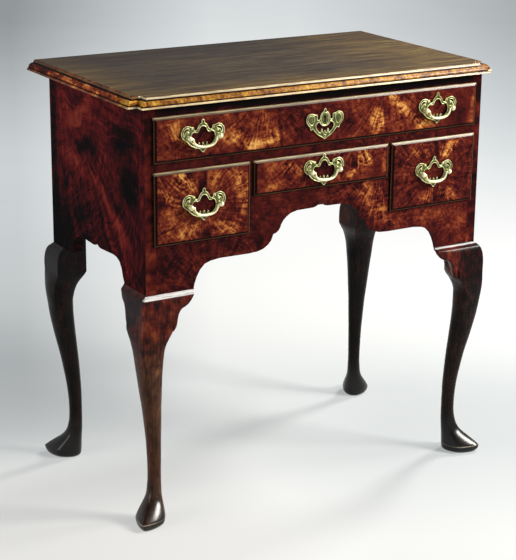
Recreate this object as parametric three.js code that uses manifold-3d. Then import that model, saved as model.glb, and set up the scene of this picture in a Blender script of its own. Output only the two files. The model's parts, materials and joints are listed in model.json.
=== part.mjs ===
// Lowboy: a walnut dressing table with one long drawer over three short ones, on four cabriole legs.
// Millimetres, +Z up, the front facing -Y. The origin is on the floor, under the middle of the whole box.
import * as THREE from 'three';
import { mergeVertices } from 'three/addons/utils/BufferGeometryUtils.js';
import Module from 'manifold-3d';

// Overall sizes
const overallHeight = 711;
const carcaseWidth = 646;
const carcaseDepth = 350;
const boardThickness = 18;
const backThickness = 12;
const seam = 0.3;

// Top
const topThickness = 16.4;
const topOverhangSide = 25.5;
const topOverhangFront = 12;
const topOverhangBack = 34.6;
const edgeWidth = 17;
const cornerNotch = 16;

// Front framing, from the top down: rails, drawer openings and the apron under the side drawers
const topRailHeight = 19.6;
const topOpening = 64;
const middleRailHeight = 23;
const centreOpeningHeight = 49.5;
const sideOpeningHeight = 109.5;
const apronHeight = 82;
const railDepth = 60;
const dividerThickness = 15.7;
const centreOpening = 251.6;

// Aprons
const frontArchSpan = 475;
const frontArchRise = 113.5;
const sideArchSpan = 198;
const sideArchRise = 41.5;

// Legs
const legPost = 42;
const shoulderProud = 6.5;
const shoulderHeight = 7;
const kneeProud = 12.4;
const kneeDrop = 46;
const bracketReachFront = 43.2;
const bracketReachSide = 34.7;
const bracketDrop = 44;
const bracketThickness = 20;

// Runners and the dustboard that carry the drawers
const runnerWidth = 14;
const runnerHeight = 12;
const dustboardThickness = 12;

// Drawers
const drawerBackSpace = 19.7;
const drawerFrontThickness = 22;
const lipOverlap = 4.5;
const lipProud = 6;
const lipWidth = 6.5;
const drawerClearance = 1;
const runningGap = 0.5;
const drawerSideThickness = 9;
const drawerBackThickness = 9;
const drawerBottomThickness = 6;
const drawerBottomLift = 5;
const drawerSideDrop = 3;
const drawerBackDrop = 12;

// Brass handles and escutcheon
const plateWidth = 76;
const plateHeight = 55;
const plateThickness = 1.6;
const postSpan = 54;
const postReach = 9;
const postRadius = 3.2;
const postHeadRadius = 4.4;
const bailPinRadius = 1.3;
const bailPinClearance = 0.35;
const bailSideRadius = 2;
const bailFootRadius = 2.5;
const bailDrop = 20;
const bailHalfSpan = 20.8;
const sideHandleInset = 81.75;
const topHandleInset = 79.75;
const keyholeRadius = 2.6;
const keyholeSlot = 2.2;
const keyholeDrop = 9;
const keyholeLift = 3;

// Lock
const lockWidth = 64;
const lockHeight = 40;
const lockDepth = 10;
const boltWidth = 18;
const boltThickness = 4;
const boltHeight = 20;
const boltClearance = 0.3;
const boltTravel = 6;
const mortiseClearance = 1;

// Facet counts, the overrun of every cut and the distance that welds two points
const legSides = 16;
const postSides = 10;
const bailSides = 8;
const bailSteps = 20;
const overrun = 1;
const weldTolerance = 0.001;

// Derived places, measured from the middle of the carcase
const halfWidth = carcaseWidth / 2;
const halfDepth = carcaseDepth / 2;
const topUnderside = overallHeight - topThickness;
const topRailBottom = topUnderside - topRailHeight;
const topDrawerFloor = topRailBottom - topOpening;
const middleRailBottom = topDrawerFloor - middleRailHeight;
const centreDrawerFloor = middleRailBottom - centreOpeningHeight;
const sideDrawerFloor = middleRailBottom - sideOpeningHeight;
const legHeight = sideDrawerFloor - apronHeight;
const carcaseTop = topUnderside - seam;
const innerHalfWidth = halfWidth - boardThickness;
const frontBack = -halfDepth + boardThickness;
const backFront = halfDepth - backThickness - seam;
const faceY = -halfDepth - lipProud;
const drawerFrontBack = faceY + drawerFrontThickness;
const pivotY = faceY - seam - postReach;
const halfCentreOpening = centreOpening / 2;
const sideOpeningStart = halfCentreOpening + dividerThickness;
const lowerRunnerTop = sideDrawerFloor;
const upperRunnerTop = topDrawerFloor;

// Profiles, as shares of the sizes that they follow
// Front arch, from its middle to the knee: [along half the span, up the rise]
const frontArchShares = [
  [0, 1], [0.015, 0.952], [0.034, 0.925], [0.059, 0.912], [0.189, 0.907], [0.24, 0.881],
  [0.274, 0.837], [0.299, 0.789], [0.318, 0.727], [0.324, 0.687], [0.337, 0.648], [0.354, 0.619],
  [0.379, 0.604], [0.385, 0.568], [0.396, 0.515], [0.421, 0.458], [0.457, 0.41], [0.505, 0.383],
  [0.573, 0.374], [0.8, 0.377], [0.872, 0.359], [0.916, 0.326], [0.952, 0.251], [0.977, 0.154],
  [0.994, 0.057], [1, 0],
];
const sideArchShares = [
  [0, 1], [0.035, 0.94], [0.081, 0.892], [0.141, 0.875], [0.606, 0.923], [0.732, 0.892],
  [0.833, 0.771], [0.909, 0.53], [0.944, 0.253], [1, 0],
];
// Leg sections: [height, outward reach, inward reach, half width, roundness], the height as a share
// of the leg's, the reaches along the diagonal from the carcase corner as shares of the post's side.
// A roundness of 1 is a square standing on the diagonal, and 2 is an ellipse.
const lowerLegShares = [
  [0, 0.51, -0.857, 0.405, 1.9], [0.01, 0.595, -0.952, 0.488, 1.9], [0.03, 0.655, -0.988, 0.571, 1.75],
  [0.055, 0.429, -1, 0.548, 1.75], [0.076, 0.119, -1.01, 0.464, 1.85],
  [0.096, -0.183, -1.021, 0.374, 1.95], [0.131, -0.39, -1.045, 0.3, 2],
  [0.177, -0.495, -1.057, 0.267, 2], [0.24, -0.512, -1.06, 0.264, 2],
  [0.353, -0.412, -1.033, 0.3, 1.9], [0.454, -0.233, -0.969, 0.352, 1.8],
  [0.555, 0.007, -0.879, 0.426, 1.65], [0.656, 0.233, -0.795, 0.512, 1.5],
  [0.731, 0.352, -0.774, 0.59, 1.4],
];
const frontKneeShares = [
  [0.769, 0.405, -0.78, 0.655, 1.35], [0.807, 0.438, -0.857, 0.74, 1.25],
  [0.845, 0.438, -1.1, 0.88, 1.12],
];
const backKneeShares = [
  [0.769, 0.405, -0.83, 0.63, 1.35], [0.807, 0.438, -0.952, 0.69, 1.25],
  [0.845, 0.438, -1.19, 0.8, 1.15],
];
// Swell of the knee between its shoulder and its full reach
const swellShare = 0.75;
// Knee bracket: [reach from the leg, drop below the carcase], as shares of its reach and drop
const bracketShares = [
  [0, 0], [1, 0], [0.97, 0.15], [0.84, 0.33], [0.65, 0.48], [0.43, 0.56], [0.3, 0.65], [0.21, 0.8],
  [0.17, 1], [0, 1],
];
// Edge of the top: [in from the outermost lip, down from the upper surface]
const rimShares = [
  [1, 0], [0.86, 0], [0.75, 0.05], [0.72, 0.18], [0.7, 0.26], [0.6, 0.3], [0.4, 0.38], [0.24, 0.52],
  [0.15, 0.74], [0.04, 0.8], [0, 0.87], [0.02, 0.95], [0.06, 1],
];
// Moulded lip of a drawer: [in from the lip's edge, proud of the carcase]
const lipShares = [[1, 1], [0.86, 1], [0.8, 0.87], [0.45, 0.75], [0.15, 0.5], [0, 0.25]];
// Brass plate, right half from the bud down to the pendant: [half width, half height]
const plateShares = [
  [0, 1], [0.06, 0.93], [0.068, 0.84], [0.037, 0.76], [0.13, 0.71], [0.22, 0.58], [0.28, 0.42],
  [0.34, 0.33], [0.45, 0.25], [0.5, 0.22], [0.56, 0.38], [0.66, 0.46], [0.76, 0.48], [0.89, 0.4],
  [0.98, 0.2], [1, 0.04], [0.95, -0.16], [0.82, -0.3], [0.68, -0.37], [0.58, -0.5], [0.4, -0.67],
  [0.21, -0.75], [0.1, -0.83], [0.068, -0.93], [0, -1],
];
const plateHoleShares = [
  [0, 0.48], [0.13, 0.4], [0.2, 0.24], [0.25, 0.08], [0.38, 0.1], [0.46, -0.04], [0.45, -0.22],
  [0.37, -0.4], [0.21, -0.52], [0, -0.55],
];
const escutcheonHoleShares = [[0, -0.42], [0.12, -0.6], [0, -0.66]];
// Head of a post: places along the half turn from its neck to its crown
const headShares = [0.3, 0.6, 0.8];
// Half of a hanging bail, from its pin to its foot: [half span, drop]
const bailShares = [
  [1, 0], [0.98, 0.14], [0.93, 0.36], [0.86, 0.56], [0.72, 0.78], [0.5, 0.92], [0.25, 0.985], [0, 1],
];

// Finishes
function finish(color, roughness, metalness = 0) {
  return new THREE.MeshStandardMaterial({ color, roughness, metalness });
}
const finishes = {
  top: () => finish(0x5a4a30, 0.3),
  edge: () => finish(0x9a5426, 0.3),
  front: () => finish(0x7d3a1e, 0.35),
  side: () => finish(0x5c2a18, 0.35),
  leg: () => finish(0x44200f, 0.3),
  oak: () => finish(0x9a7448, 0.75),
  brass: () => finish(0xc9b673, 0.3, 1),
  iron: () => finish(0x4a4744, 0.5, 1),
};

// Solids
const wasm = await Module();
wasm.setup();

function toSolid(geometry) {
  const bare = geometry.index ? geometry.toNonIndexed() : geometry.clone();
  bare.deleteAttribute('normal');
  bare.deleteAttribute('uv');
  const merged = mergeVertices(bare, weldTolerance);
  const faces = [];
  for (let i = 0; i < merged.index.count; i += 3) {
    const [a, b, c] = merged.index.array.slice(i, i + 3);
    if (a !== b && b !== c && c !== a) faces.push(a, b, c);
  }
  const mesh = new wasm.Mesh({
    numProp: 3,
    vertProperties: new Float32Array(merged.attributes.position.array),
    triVerts: new Uint32Array(faces),
  });
  return new wasm.Manifold(mesh);
}

function toGeometry(solid) {
  const mesh = solid.getMesh();
  const geometry = new THREE.BufferGeometry();
  geometry.setAttribute('position', new THREE.BufferAttribute(mesh.vertProperties, 3));
  geometry.setIndex(new THREE.BufferAttribute(mesh.triVerts, 1));
  return geometry;
}

function join(...geometries) {
  return toGeometry(geometries.map(toSolid).reduce((whole, piece) => whole.add(piece)));
}

function cut(geometry, ...tools) {
  return toGeometry(tools.map(toSolid).reduce((whole, tool) => whole.subtract(tool), toSolid(geometry)));
}

// A box between two corners
function block(x0, x1, y0, y1, z0, z1) {
  const geometry = new THREE.BoxGeometry(x1 - x0, y1 - y0, z1 - z0);
  return geometry.translate((x0 + x1) / 2, (y0 + y1) / 2, (z0 + z1) / 2);
}

// Triangles over a flat ring of points, wound the way the ring runs
function capFaces(ring) {
  const normal = new THREE.Vector3();
  ring.forEach((point, i) => normal.add(point.clone().cross(ring[(i + 1) % ring.length])));
  const sizes = normal.toArray().map(Math.abs);
  const flat = ['x', 'y', 'z'].filter((axis, i) => i !== sizes.indexOf(Math.max(...sizes)));
  const contour = ring.map((point) => new THREE.Vector2(point[flat[0]], point[flat[1]]));
  return THREE.ShapeUtils.triangulateShape(contour, []).map(([a, b, c]) => {
    const turn = ring[b].clone().sub(ring[a]).cross(ring[c].clone().sub(ring[a]));
    return turn.dot(normal) > 0 ? [a, b, c] : [a, c, b];
  });
}

// A closed skin over rings that all have the same number of points
function loft(rings) {
  const count = rings[0].length;
  const last = (rings.length - 1) * count;
  const faces = capFaces(rings[0]).map(([a, b, c]) => [a, c, b]);
  capFaces(rings.at(-1)).forEach((face) => faces.push(face.map((i) => i + last)));
  for (let r = 0; r + 1 < rings.length; r += 1) {
    for (let i = 0; i < count; i += 1) {
      const a = r * count + i;
      const b = r * count + ((i + 1) % count);
      faces.push([a, b, b + count], [a, b + count, a + count]);
    }
  }
  const points = rings.flat();
  let volume = 0;
  faces.forEach(([a, b, c]) => { volume += points[a].dot(points[b].clone().cross(points[c])); });
  const outward = volume > 0 ? faces : faces.map(([a, b, c]) => [a, c, b]);
  const geometry = new THREE.BufferGeometry();
  const places = points.flatMap((p) => p.toArray());
  geometry.setAttribute('position', new THREE.Float32BufferAttribute(places, 3));
  geometry.setIndex(outward.flat());
  return geometry;
}

// A flat outline in X and Z, given thickness from y0 to y1
function frontPlate(outline, holes, y0, y1) {
  const wound = (points, clockwise) => (
    THREE.ShapeUtils.isClockWise(points) === clockwise ? points : points.slice().reverse());
  const shape = new THREE.Shape(wound(outline, false));
  shape.holes = holes.map((hole) => new THREE.Path(wound(hole, true)));
  const geometry = new THREE.ExtrudeGeometry(shape, { depth: y1 - y0, bevelEnabled: false });
  return geometry.rotateX(Math.PI / 2).translate(0, y1, 0);
}

// A flat outline in Y and Z, given thickness from x0 to x1
function sidePlate(outline, x0, x1) {
  const shape = new THREE.Shape(outline);
  const geometry = new THREE.ExtrudeGeometry(shape, { depth: x1 - x0, bevelEnabled: false });
  const turn = new THREE.Matrix4().makeBasis(
    new THREE.Vector3(0, 1, 0), new THREE.Vector3(0, 0, 1), new THREE.Vector3(1, 0, 0));
  return geometry.applyMatrix4(turn).translate(x0, 0, 0);
}

// The whole of a symmetrical outline, from its right half that runs from the middle line to the middle line
function mirrored(half) {
  const left = half.filter(([x]) => x !== 0).map(([x, y]) => [-x, y]).reverse();
  return [...half, ...left].map(([x, y]) => new THREE.Vector2(x, y));
}

const lowboy = new THREE.Group();

function add(name, geometry, material) {
  const mesh = new THREE.Mesh(geometry, material);
  mesh.name = name;
  lowboy.add(mesh);
  return mesh;
}

// Top board and the moulded edge round its front and sides, notched at the front corners
const topHalfWidth = halfWidth + topOverhangSide;
const topFront = -halfDepth - topOverhangFront;
const topBack = halfDepth + topOverhangBack;

function topBoard() {
  const x = topHalfWidth - edgeWidth - seam;
  const y = topFront + edgeWidth + seam + seam;
  const ring = (z) => [
    [-x, topBack], [-x, y + cornerNotch], [-x + cornerNotch, y + cornerNotch], [-x + cornerNotch, y],
    [x - cornerNotch, y], [x - cornerNotch, y + cornerNotch], [x, y + cornerNotch], [x, topBack],
  ].map(([px, py]) => new THREE.Vector3(px, py, z));
  return loft([ring(topUnderside), ring(overallHeight)]);
}

function rimRings(plan) {
  return rimShares.map(([inShare, downShare]) => {
    const z = overallHeight - downShare * topThickness;
    return plan(inShare * edgeWidth).map(([x, y]) => new THREE.Vector3(x, y, z));
  });
}

function frontMoulding() {
  const x = topHalfWidth - cornerNotch;
  const half = (inset) => [
    [x - edgeWidth, topFront + edgeWidth + cornerNotch], [x - inset, topFront + inset + cornerNotch],
    [x - inset, topFront + inset],
  ];
  const inner = [x - edgeWidth, topFront + edgeWidth];
  return loft(rimRings((inset) => {
    const shaped = inset >= edgeWidth - seam ? edgeWidth - seam : inset;
    const right = [inner, ...half(shaped)];
    return [...right, ...right.map(([px, py]) => [-px, py]).reverse()];
  }));
}

function sideMoulding(side) {
  const front = topFront + cornerNotch + seam;
  return loft(rimRings((inset) => {
    const shaped = inset >= edgeWidth - seam ? edgeWidth - seam : inset;
    return [
      [topHalfWidth - cornerNotch - edgeWidth, front + edgeWidth],
      [topHalfWidth - cornerNotch - shaped, front + shaped],
      [topHalfWidth - shaped, front + shaped],
      [topHalfWidth - shaped, topBack],
      [topHalfWidth - edgeWidth, topBack],
      [topHalfWidth - edgeWidth, front + edgeWidth],
    ].map(([x, y]) => [side * x, y]);
  }));
}

add('top_board', topBoard(), finishes.top());
add('top_moulding_front', frontMoulding(), finishes.edge());
add('top_moulding_left', sideMoulding(-1), finishes.edge());
add('top_moulding_right', sideMoulding(1), finishes.edge());

// Side boards, whose front edges are the stiles, with an arch along the lower edge
const legTop = legHeight - seam;
function archPoints(shares, span, rise) {
  return shares.map(([along, up]) => [along * span / 2, legHeight + up * rise]);
}

function sideBoard(side) {
  const arch = archPoints(sideArchShares, sideArchSpan, sideArchRise);
  const outline = mirrored([...arch, [halfDepth, legHeight], [halfDepth, carcaseTop]]);
  const start = side > 0 ? innerHalfWidth : -halfWidth;
  return sidePlate(outline, start, start + boardThickness);
}
add('side_left', sideBoard(-1), finishes.side());
add('side_right', sideBoard(1), finishes.side());

const betweenSides = innerHalfWidth - seam;
add('back_panel',
  block(-betweenSides, betweenSides, halfDepth - backThickness, halfDepth, legHeight, carcaseTop),
  finishes.oak());

// Front apron: stepped along its top for the drawers, arched below
function apronOutline() {
  const arch = archPoints(frontArchShares, frontArchSpan, frontArchRise);
  const step = halfCentreOpening - seam;
  return mirrored([
    ...arch, [betweenSides, legHeight], [betweenSides, sideDrawerFloor], [step, sideDrawerFloor],
    [step, centreDrawerFloor],
  ]);
}
add('front_apron', frontPlate(apronOutline(), [], -halfDepth, frontBack), finishes.front());

// Rails across the front, the upper one mortised for the lock's bolt
const railBack = -halfDepth + railDepth;
const lockFront = drawerFrontBack + seam;
const boltMiddle = lockFront + lockDepth / 2;
function mortise() {
  const x = boltWidth / 2 + mortiseClearance;
  const y = boltThickness / 2 + mortiseClearance;
  const top = topRailBottom + boltTravel + mortiseClearance;
  return block(-x, x, boltMiddle - y, boltMiddle + y, topRailBottom - overrun, top);
}
const topRail = block(-betweenSides, betweenSides, -halfDepth, railBack, topRailBottom, carcaseTop);
add('top_front_rail', cut(topRail, mortise()), finishes.front());
add('middle_rail',
  block(-betweenSides, betweenSides, -halfDepth, railBack, middleRailBottom, topDrawerFloor),
  finishes.front());

// Dividers between the lower drawers, the runners under them and at the sides, and the centre dustboard
const behindApron = frontBack + seam;
const behindRail = railBack + seam;
const lowerRunnerBottom = lowerRunnerTop - runnerHeight;
for (const [label, side] of [['left', -1], ['right', 1]]) {
  const spans = {
    divider: [halfCentreOpening, sideOpeningStart],
    inner: [halfCentreOpening - runnerWidth / 2, sideOpeningStart + runnerWidth],
    outer: [betweenSides - runnerWidth, betweenSides],
  };
  const across = (span, ...rest) => (
    block(...[side * span[0], side * span[1]].sort((a, b) => a - b), ...rest));
  const dividerBottom = sideDrawerFloor + seam;
  const dividerTop = middleRailBottom - seam;
  add(`drawer_divider_${label}`, across(spans.divider, -halfDepth, backFront, dividerBottom, dividerTop),
    finishes.front());
  add(`runner_inner_${label}`,
    across(spans.inner, behindApron, backFront, lowerRunnerBottom, lowerRunnerTop),
    finishes.oak());
  add(`runner_outer_${label}`,
    across(spans.outer, behindApron, backFront, lowerRunnerBottom, lowerRunnerTop),
    finishes.oak());
  add(`runner_top_${label}`,
    across(spans.outer, behindRail, backFront, upperRunnerTop - runnerHeight, upperRunnerTop),
    finishes.oak());
}
const dustboardHalf = halfCentreOpening - seam;
const dustboardBottom = centreDrawerFloor - dustboardThickness;
add('centre_dustboard',
  block(-dustboardHalf, dustboardHalf, behindApron, backFront, dustboardBottom, centreDrawerFloor),
  finishes.oak());

// Cabriole legs: sections lofted from the sole to the shoulder, and a square post up inside the corner
const diagonal = Math.SQRT1_2;
function legSection(z, outward, inward, halfSection, roundness) {
  const middle = (outward + inward) / 2;
  const reach = (outward - inward) / 2;
  const power = 2 / roundness;
  return Array.from({ length: legSides }, (unused, i) => {
    const angle = i * 2 * Math.PI / legSides;
    const c = Math.cos(angle);
    const s = Math.sin(angle);
    const u = middle + reach * Math.sign(c) * Math.abs(c) ** power;
    const v = halfSection * Math.sign(s) * Math.abs(s) ** power;
    return new THREE.Vector3((u - v) * diagonal, (u + v) * diagonal, z);
  });
}

// A square section between two distances in from the carcase corner
function postSection(z, outer, inner) {
  const outward = -outer / diagonal;
  const inward = -inner / diagonal;
  return legSection(z, outward, inward, (outward - inward) / 2, 1);
}

function cabrioleLeg(kneeShares, xSide, ySide) {
  const rows = [...lowerLegShares, ...kneeShares].map(([height, ...rest]) => {
    const roundness = rest.pop();
    return legSection(height * legHeight, ...rest.map((share) => share * legPost), roundness);
  });
  const postCorner = boardThickness + seam;
  const postTop = lowerRunnerBottom - seam;
  const swellDrop = (kneeDrop + shoulderHeight) / 2;
  const swellProud = shoulderProud + (kneeProud - shoulderProud) * swellShare;
  rows.push(postSection(legTop - kneeDrop, -kneeProud, legPost));
  rows.push(postSection(legTop - swellDrop, -swellProud, legPost));
  rows.push(postSection(legTop - shoulderHeight, -shoulderProud, legPost));
  rows.push(postSection(legTop, 0, legPost));
  rows.push(postSection(legTop, postCorner, legPost));
  rows.push(postSection(postTop, postCorner, legPost));
  const rings = rows.map((ring) => ring.map((point) => new THREE.Vector3(
    xSide * (halfWidth + point.x), ySide * (halfDepth + point.y), point.z)));
  return loft(rings);
}

// Knee brackets: shaped blocks glued under the carcase on both faces of each front leg
function bracketOutline(side, corner, reach) {
  const start = corner - legPost - seam;
  return bracketShares.map(([along, down]) => new THREE.Vector2(
    side * (start - along * reach), legTop - down * bracketDrop));
}

const corners = [
  ['front_left', -1, -1], ['front_right', 1, -1], ['back_left', -1, 1], ['back_right', 1, 1],
];
for (const [place, xSide, ySide] of corners) {
  const knee = ySide < 0 ? frontKneeShares : backKneeShares;
  add(`leg_${place}`, cabrioleLeg(knee, xSide, ySide), finishes.leg());
}
for (const [label, side] of [['left', -1], ['right', 1]]) {
  const front = -halfDepth - shoulderProud;
  add(`knee_bracket_${label}_front`,
    frontPlate(bracketOutline(side, halfWidth, bracketReachFront), [], front, front + bracketThickness),
    finishes.leg());
  const outer = halfWidth + shoulderProud;
  const start = side > 0 ? outer - bracketThickness : -outer;
  add(`knee_bracket_${label}_side`,
    sidePlate(bracketOutline(-1, halfDepth, bracketReachSide), start, start + bracketThickness),
    finishes.leg());
}

// Drawers: a lipped front, two sides, a back and a bottom, each running on its own runners
function rectangle(box, inset, y) {
  const [x0, x1, z0, z1] = box;
  return [
    [x0 + inset, z0 + inset], [x1 - inset, z0 + inset], [x1 - inset, z1 - inset], [x0 + inset, z1 - inset],
  ].map(([x, z]) => new THREE.Vector3(x, y, z));
}

function drawerFront(box) {
  const [x0, x1, z0, z1] = box;
  const lip = [x0 - lipOverlap, x1 + lipOverlap, z0 - lipOverlap, z1 + lipOverlap];
  const lipBack = -halfDepth - seam;
  const rings = lipShares.map(([inShare, proudShare]) => rectangle(
    lip, inShare * lipWidth, -halfDepth - proudShare * lipProud));
  rings.push(rectangle(lip, 0, lipBack));
  rings.push(rectangle(box, drawerClearance, lipBack));
  rings.push(rectangle(box, drawerClearance, drawerFrontBack));
  return loft(rings);
}

function keyhole(x, z, y0, y1) {
  const round = new THREE.CylinderGeometry(keyholeRadius, keyholeRadius, y1 - y0, postSides);
  round.translate(x, (y0 + y1) / 2, z + keyholeLift);
  const middle = z + keyholeLift;
  const slot = block(x - keyholeSlot / 2, x + keyholeSlot / 2, y0, y1, middle - keyholeDrop, middle);
  return [round, slot];
}

const drawers = [
  { name: 'top', box: [-innerHalfWidth, innerHalfWidth, topDrawerFloor, topRailBottom], locked: true },
  { name: 'left', box: [-innerHalfWidth, -sideOpeningStart, sideDrawerFloor, middleRailBottom] },
  { name: 'centre', box: [-halfCentreOpening, halfCentreOpening, centreDrawerFloor, middleRailBottom] },
  { name: 'right', box: [sideOpeningStart, innerHalfWidth, sideDrawerFloor, middleRailBottom] },
];
const keyholeHeight = (topDrawerFloor + topRailBottom) / 2;
for (const { name, box, locked } of drawers) {
  const [x0, x1, z0, z1] = box;
  const left = x0 + drawerClearance;
  const right = x1 - drawerClearance;
  const innerLeft = left + drawerSideThickness;
  const innerRight = right - drawerSideThickness;
  const start = drawerFrontBack + seam;
  const end = backFront - drawerBackSpace;
  const bottom = z0 + runningGap;
  const boardBottom = bottom + drawerBottomLift;
  const boardTop = boardBottom + drawerBottomThickness;
  const sideTop = z1 - drawerClearance - drawerSideDrop;
  const shapedFront = locked
    ? cut(drawerFront(box), ...keyhole(0, keyholeHeight, faceY - overrun, drawerFrontBack + overrun))
    : drawerFront(box);
  add(`drawer_${name}_front`, shapedFront, finishes.front());
  add(`drawer_${name}_side_left`, block(left, innerLeft, start, end, bottom, sideTop), finishes.oak());
  add(`drawer_${name}_side_right`, block(innerRight, right, start, end, bottom, sideTop), finishes.oak());
  add(`drawer_${name}_back`,
    block(innerLeft + seam, innerRight - seam, end - drawerBackThickness, end,
      boardTop + seam, z1 - drawerBackDrop),
    finishes.oak());
  add(`drawer_${name}_bottom`,
    block(innerLeft + seam, innerRight - seam, start, end, boardBottom, boardTop), finishes.oak());
}

// Lock on the back of the long drawer's front: an iron case and the bolt that rises out of it
const lockTop = topRailBottom - drawerClearance - drawerClearance;
const boltBottom = lockTop - boltHeight;
const lockCase = block(-lockWidth / 2, lockWidth / 2, lockFront, lockFront + lockDepth,
  lockTop - lockHeight, lockTop);
const boltChannel = block(
  -boltWidth / 2 - boltClearance, boltWidth / 2 + boltClearance,
  boltMiddle - boltThickness / 2 - boltClearance,
  boltMiddle + boltThickness / 2 + boltClearance, boltBottom - boltClearance, lockTop + overrun);
add('lock_case', cut(lockCase, boltChannel), finishes.iron());
add('lock_bolt',
  block(-boltWidth / 2, boltWidth / 2, boltMiddle - boltThickness / 2, boltMiddle + boltThickness / 2,
    boltBottom, lockTop), finishes.iron());

// Brass: pierced plates with a post at each side, a bail swinging in the posts, and the escutcheon
function scaled(shares, x, z) {
  return mirrored(shares.map(([xShare, zShare]) => [xShare * plateWidth / 2, zShare * plateHeight / 2]))
    .map((point) => point.add(new THREE.Vector2(x, z)));
}

const plateBack = faceY - seam;
function pierced(x, z, holes) {
  return frontPlate(scaled(plateShares, x, z), holes.map((hole) => scaled(hole, x, z)),
    plateBack - plateThickness, plateBack);
}

function post(x, z) {
  const profile = [[0, 0], [postRadius, 0], [postRadius, postReach - postHeadRadius * diagonal]];
  for (const turn of headShares) {
    const angle = (turn - 1 / 2) * Math.PI;
    profile.push([postHeadRadius * Math.cos(angle), postReach + postHeadRadius * Math.sin(angle)]);
  }
  profile.push([0, postReach + postHeadRadius]);
  const geometry = new THREE.LatheGeometry(profile.map(([r, y]) => new THREE.Vector2(r, y)), postSides);
  return geometry.rotateX(Math.PI).translate(x, plateBack, z);
}

function pinHole(x, z) {
  const radius = bailPinRadius + bailPinClearance;
  const length = postHeadRadius + overrun;
  const hole = new THREE.CylinderGeometry(radius, radius, length, postSides);
  return hole.rotateZ(Math.PI / 2).translate(x, pivotY, z);
}

function backplate(x, z) {
  const posts = [x - postSpan / 2, x + postSpan / 2].map((place) => post(place, z));
  const whole = join(pierced(x, z, [plateHoleShares]), ...posts);
  const inward = (postHeadRadius + overrun) / 2;
  return cut(whole, pinHole(x - postSpan / 2 + inward, z), pinHole(x + postSpan / 2 - inward, z));
}

// A round bar through a list of places, each with its own radius
function bar(places) {
  const points = places.map(({ point }) => point);
  const rings = places.map(({ point, radius }, i) => {
    const before = points[Math.max(i - 1, 0)];
    const after = points[Math.min(i + 1, points.length - 1)];
    const along = after.clone().sub(before).normalize();
    const across = new THREE.Vector3(0, 1, 0);
    const up = along.clone().cross(across);
    return Array.from({ length: bailSides }, (unused, k) => {
      const angle = k * 2 * Math.PI / bailSides;
      return point.clone().addScaledVector(across, radius * Math.cos(angle))
        .addScaledVector(up, radius * Math.sin(angle));
    });
  });
  return loft(rings);
}

function bail(x, z) {
  const half = bailShares.map(([spanShare, dropShare]) => new THREE.Vector3(
    spanShare * bailHalfSpan, pivotY, -dropShare * bailDrop));
  const left = half.slice(0, -1).map((point) => new THREE.Vector3(-point.x, point.y, point.z));
  const curve = new THREE.CatmullRomCurve3([...left, ...half.slice().reverse()]);
  const arch = curve.getPoints(bailSteps).map((point) => ({
    point, radius: THREE.MathUtils.lerp(bailSideRadius, bailFootRadius, -point.z / bailDrop),
  }));
  const pinEnd = postSpan / 2 - bailPinClearance;
  const pinStart = postSpan / 2 - postHeadRadius - bailPinClearance - bailPinClearance;
  const pin = (side) => [[pinEnd, bailPinRadius], [pinStart, bailPinRadius]].map(([reach, radius]) => ({
    point: new THREE.Vector3(side * reach, pivotY, 0), radius,
  }));
  const places = [...pin(-1), ...arch.slice(1, -1), ...pin(1).reverse()];
  return bar(places).translate(x, 0, z);
}

const sideDrawerMiddle = (sideDrawerFloor + middleRailBottom) / 2;
const handles = [
  ['top_left', -innerHalfWidth + topHandleInset, keyholeHeight],
  ['top_right', innerHalfWidth - topHandleInset, keyholeHeight],
  ['left', -innerHalfWidth + sideHandleInset, sideDrawerMiddle],
  ['centre', 0, (centreDrawerFloor + middleRailBottom) / 2],
  ['right', innerHalfWidth - sideHandleInset, sideDrawerMiddle],
];
for (const [place, x, z] of handles) {
  add(`backplate_${place}`, backplate(x, z), finishes.brass());
  add(`bail_${place}`, bail(x, z), finishes.brass());
}
const escutcheon = pierced(0, keyholeHeight, [escutcheonHoleShares]);
add('escutcheon',
  cut(escutcheon, ...keyhole(0, keyholeHeight, plateBack - plateThickness - overrun, plateBack + overrun)),
  finishes.brass());

// The toes reach further forward than the top, and the top further back, so the whole is set over
// its middle
const wholeBox = new THREE.Box3().setFromObject(lowboy);
lowboy.position.y = -(wholeBox.min.y + wholeBox.max.y) / 2;

export default lowboy;
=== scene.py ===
import json
import math

import bmesh
import bpy
import numpy as np
from mathutils import Matrix, Vector


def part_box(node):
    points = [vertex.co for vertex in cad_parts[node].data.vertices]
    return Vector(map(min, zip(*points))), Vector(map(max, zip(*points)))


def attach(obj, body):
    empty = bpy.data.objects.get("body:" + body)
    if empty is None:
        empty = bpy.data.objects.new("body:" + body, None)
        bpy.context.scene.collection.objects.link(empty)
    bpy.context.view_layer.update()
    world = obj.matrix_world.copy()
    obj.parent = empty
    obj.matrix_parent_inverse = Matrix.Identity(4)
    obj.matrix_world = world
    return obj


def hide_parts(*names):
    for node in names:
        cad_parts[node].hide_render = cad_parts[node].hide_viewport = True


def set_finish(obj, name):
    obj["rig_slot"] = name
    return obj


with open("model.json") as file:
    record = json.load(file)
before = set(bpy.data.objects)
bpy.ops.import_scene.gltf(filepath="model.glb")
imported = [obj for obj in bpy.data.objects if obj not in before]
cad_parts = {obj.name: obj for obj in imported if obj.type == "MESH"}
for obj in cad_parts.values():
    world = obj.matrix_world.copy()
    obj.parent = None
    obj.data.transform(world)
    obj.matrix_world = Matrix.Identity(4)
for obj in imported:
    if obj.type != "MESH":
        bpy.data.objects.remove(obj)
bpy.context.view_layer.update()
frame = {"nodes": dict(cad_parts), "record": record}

# Sizes are in millimetres, measured from the middle of the carcase in X and Y and from the floor in Z.
MM = 0.001
SHIFT_Y = sum(corner[1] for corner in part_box("side_left")) / 2 / MM


def node_box(name):
    """The low and the high corner of a node's box."""
    return [(x / MM, y / MM - SHIFT_Y, z / MM) for x, y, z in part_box(name)]


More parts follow.
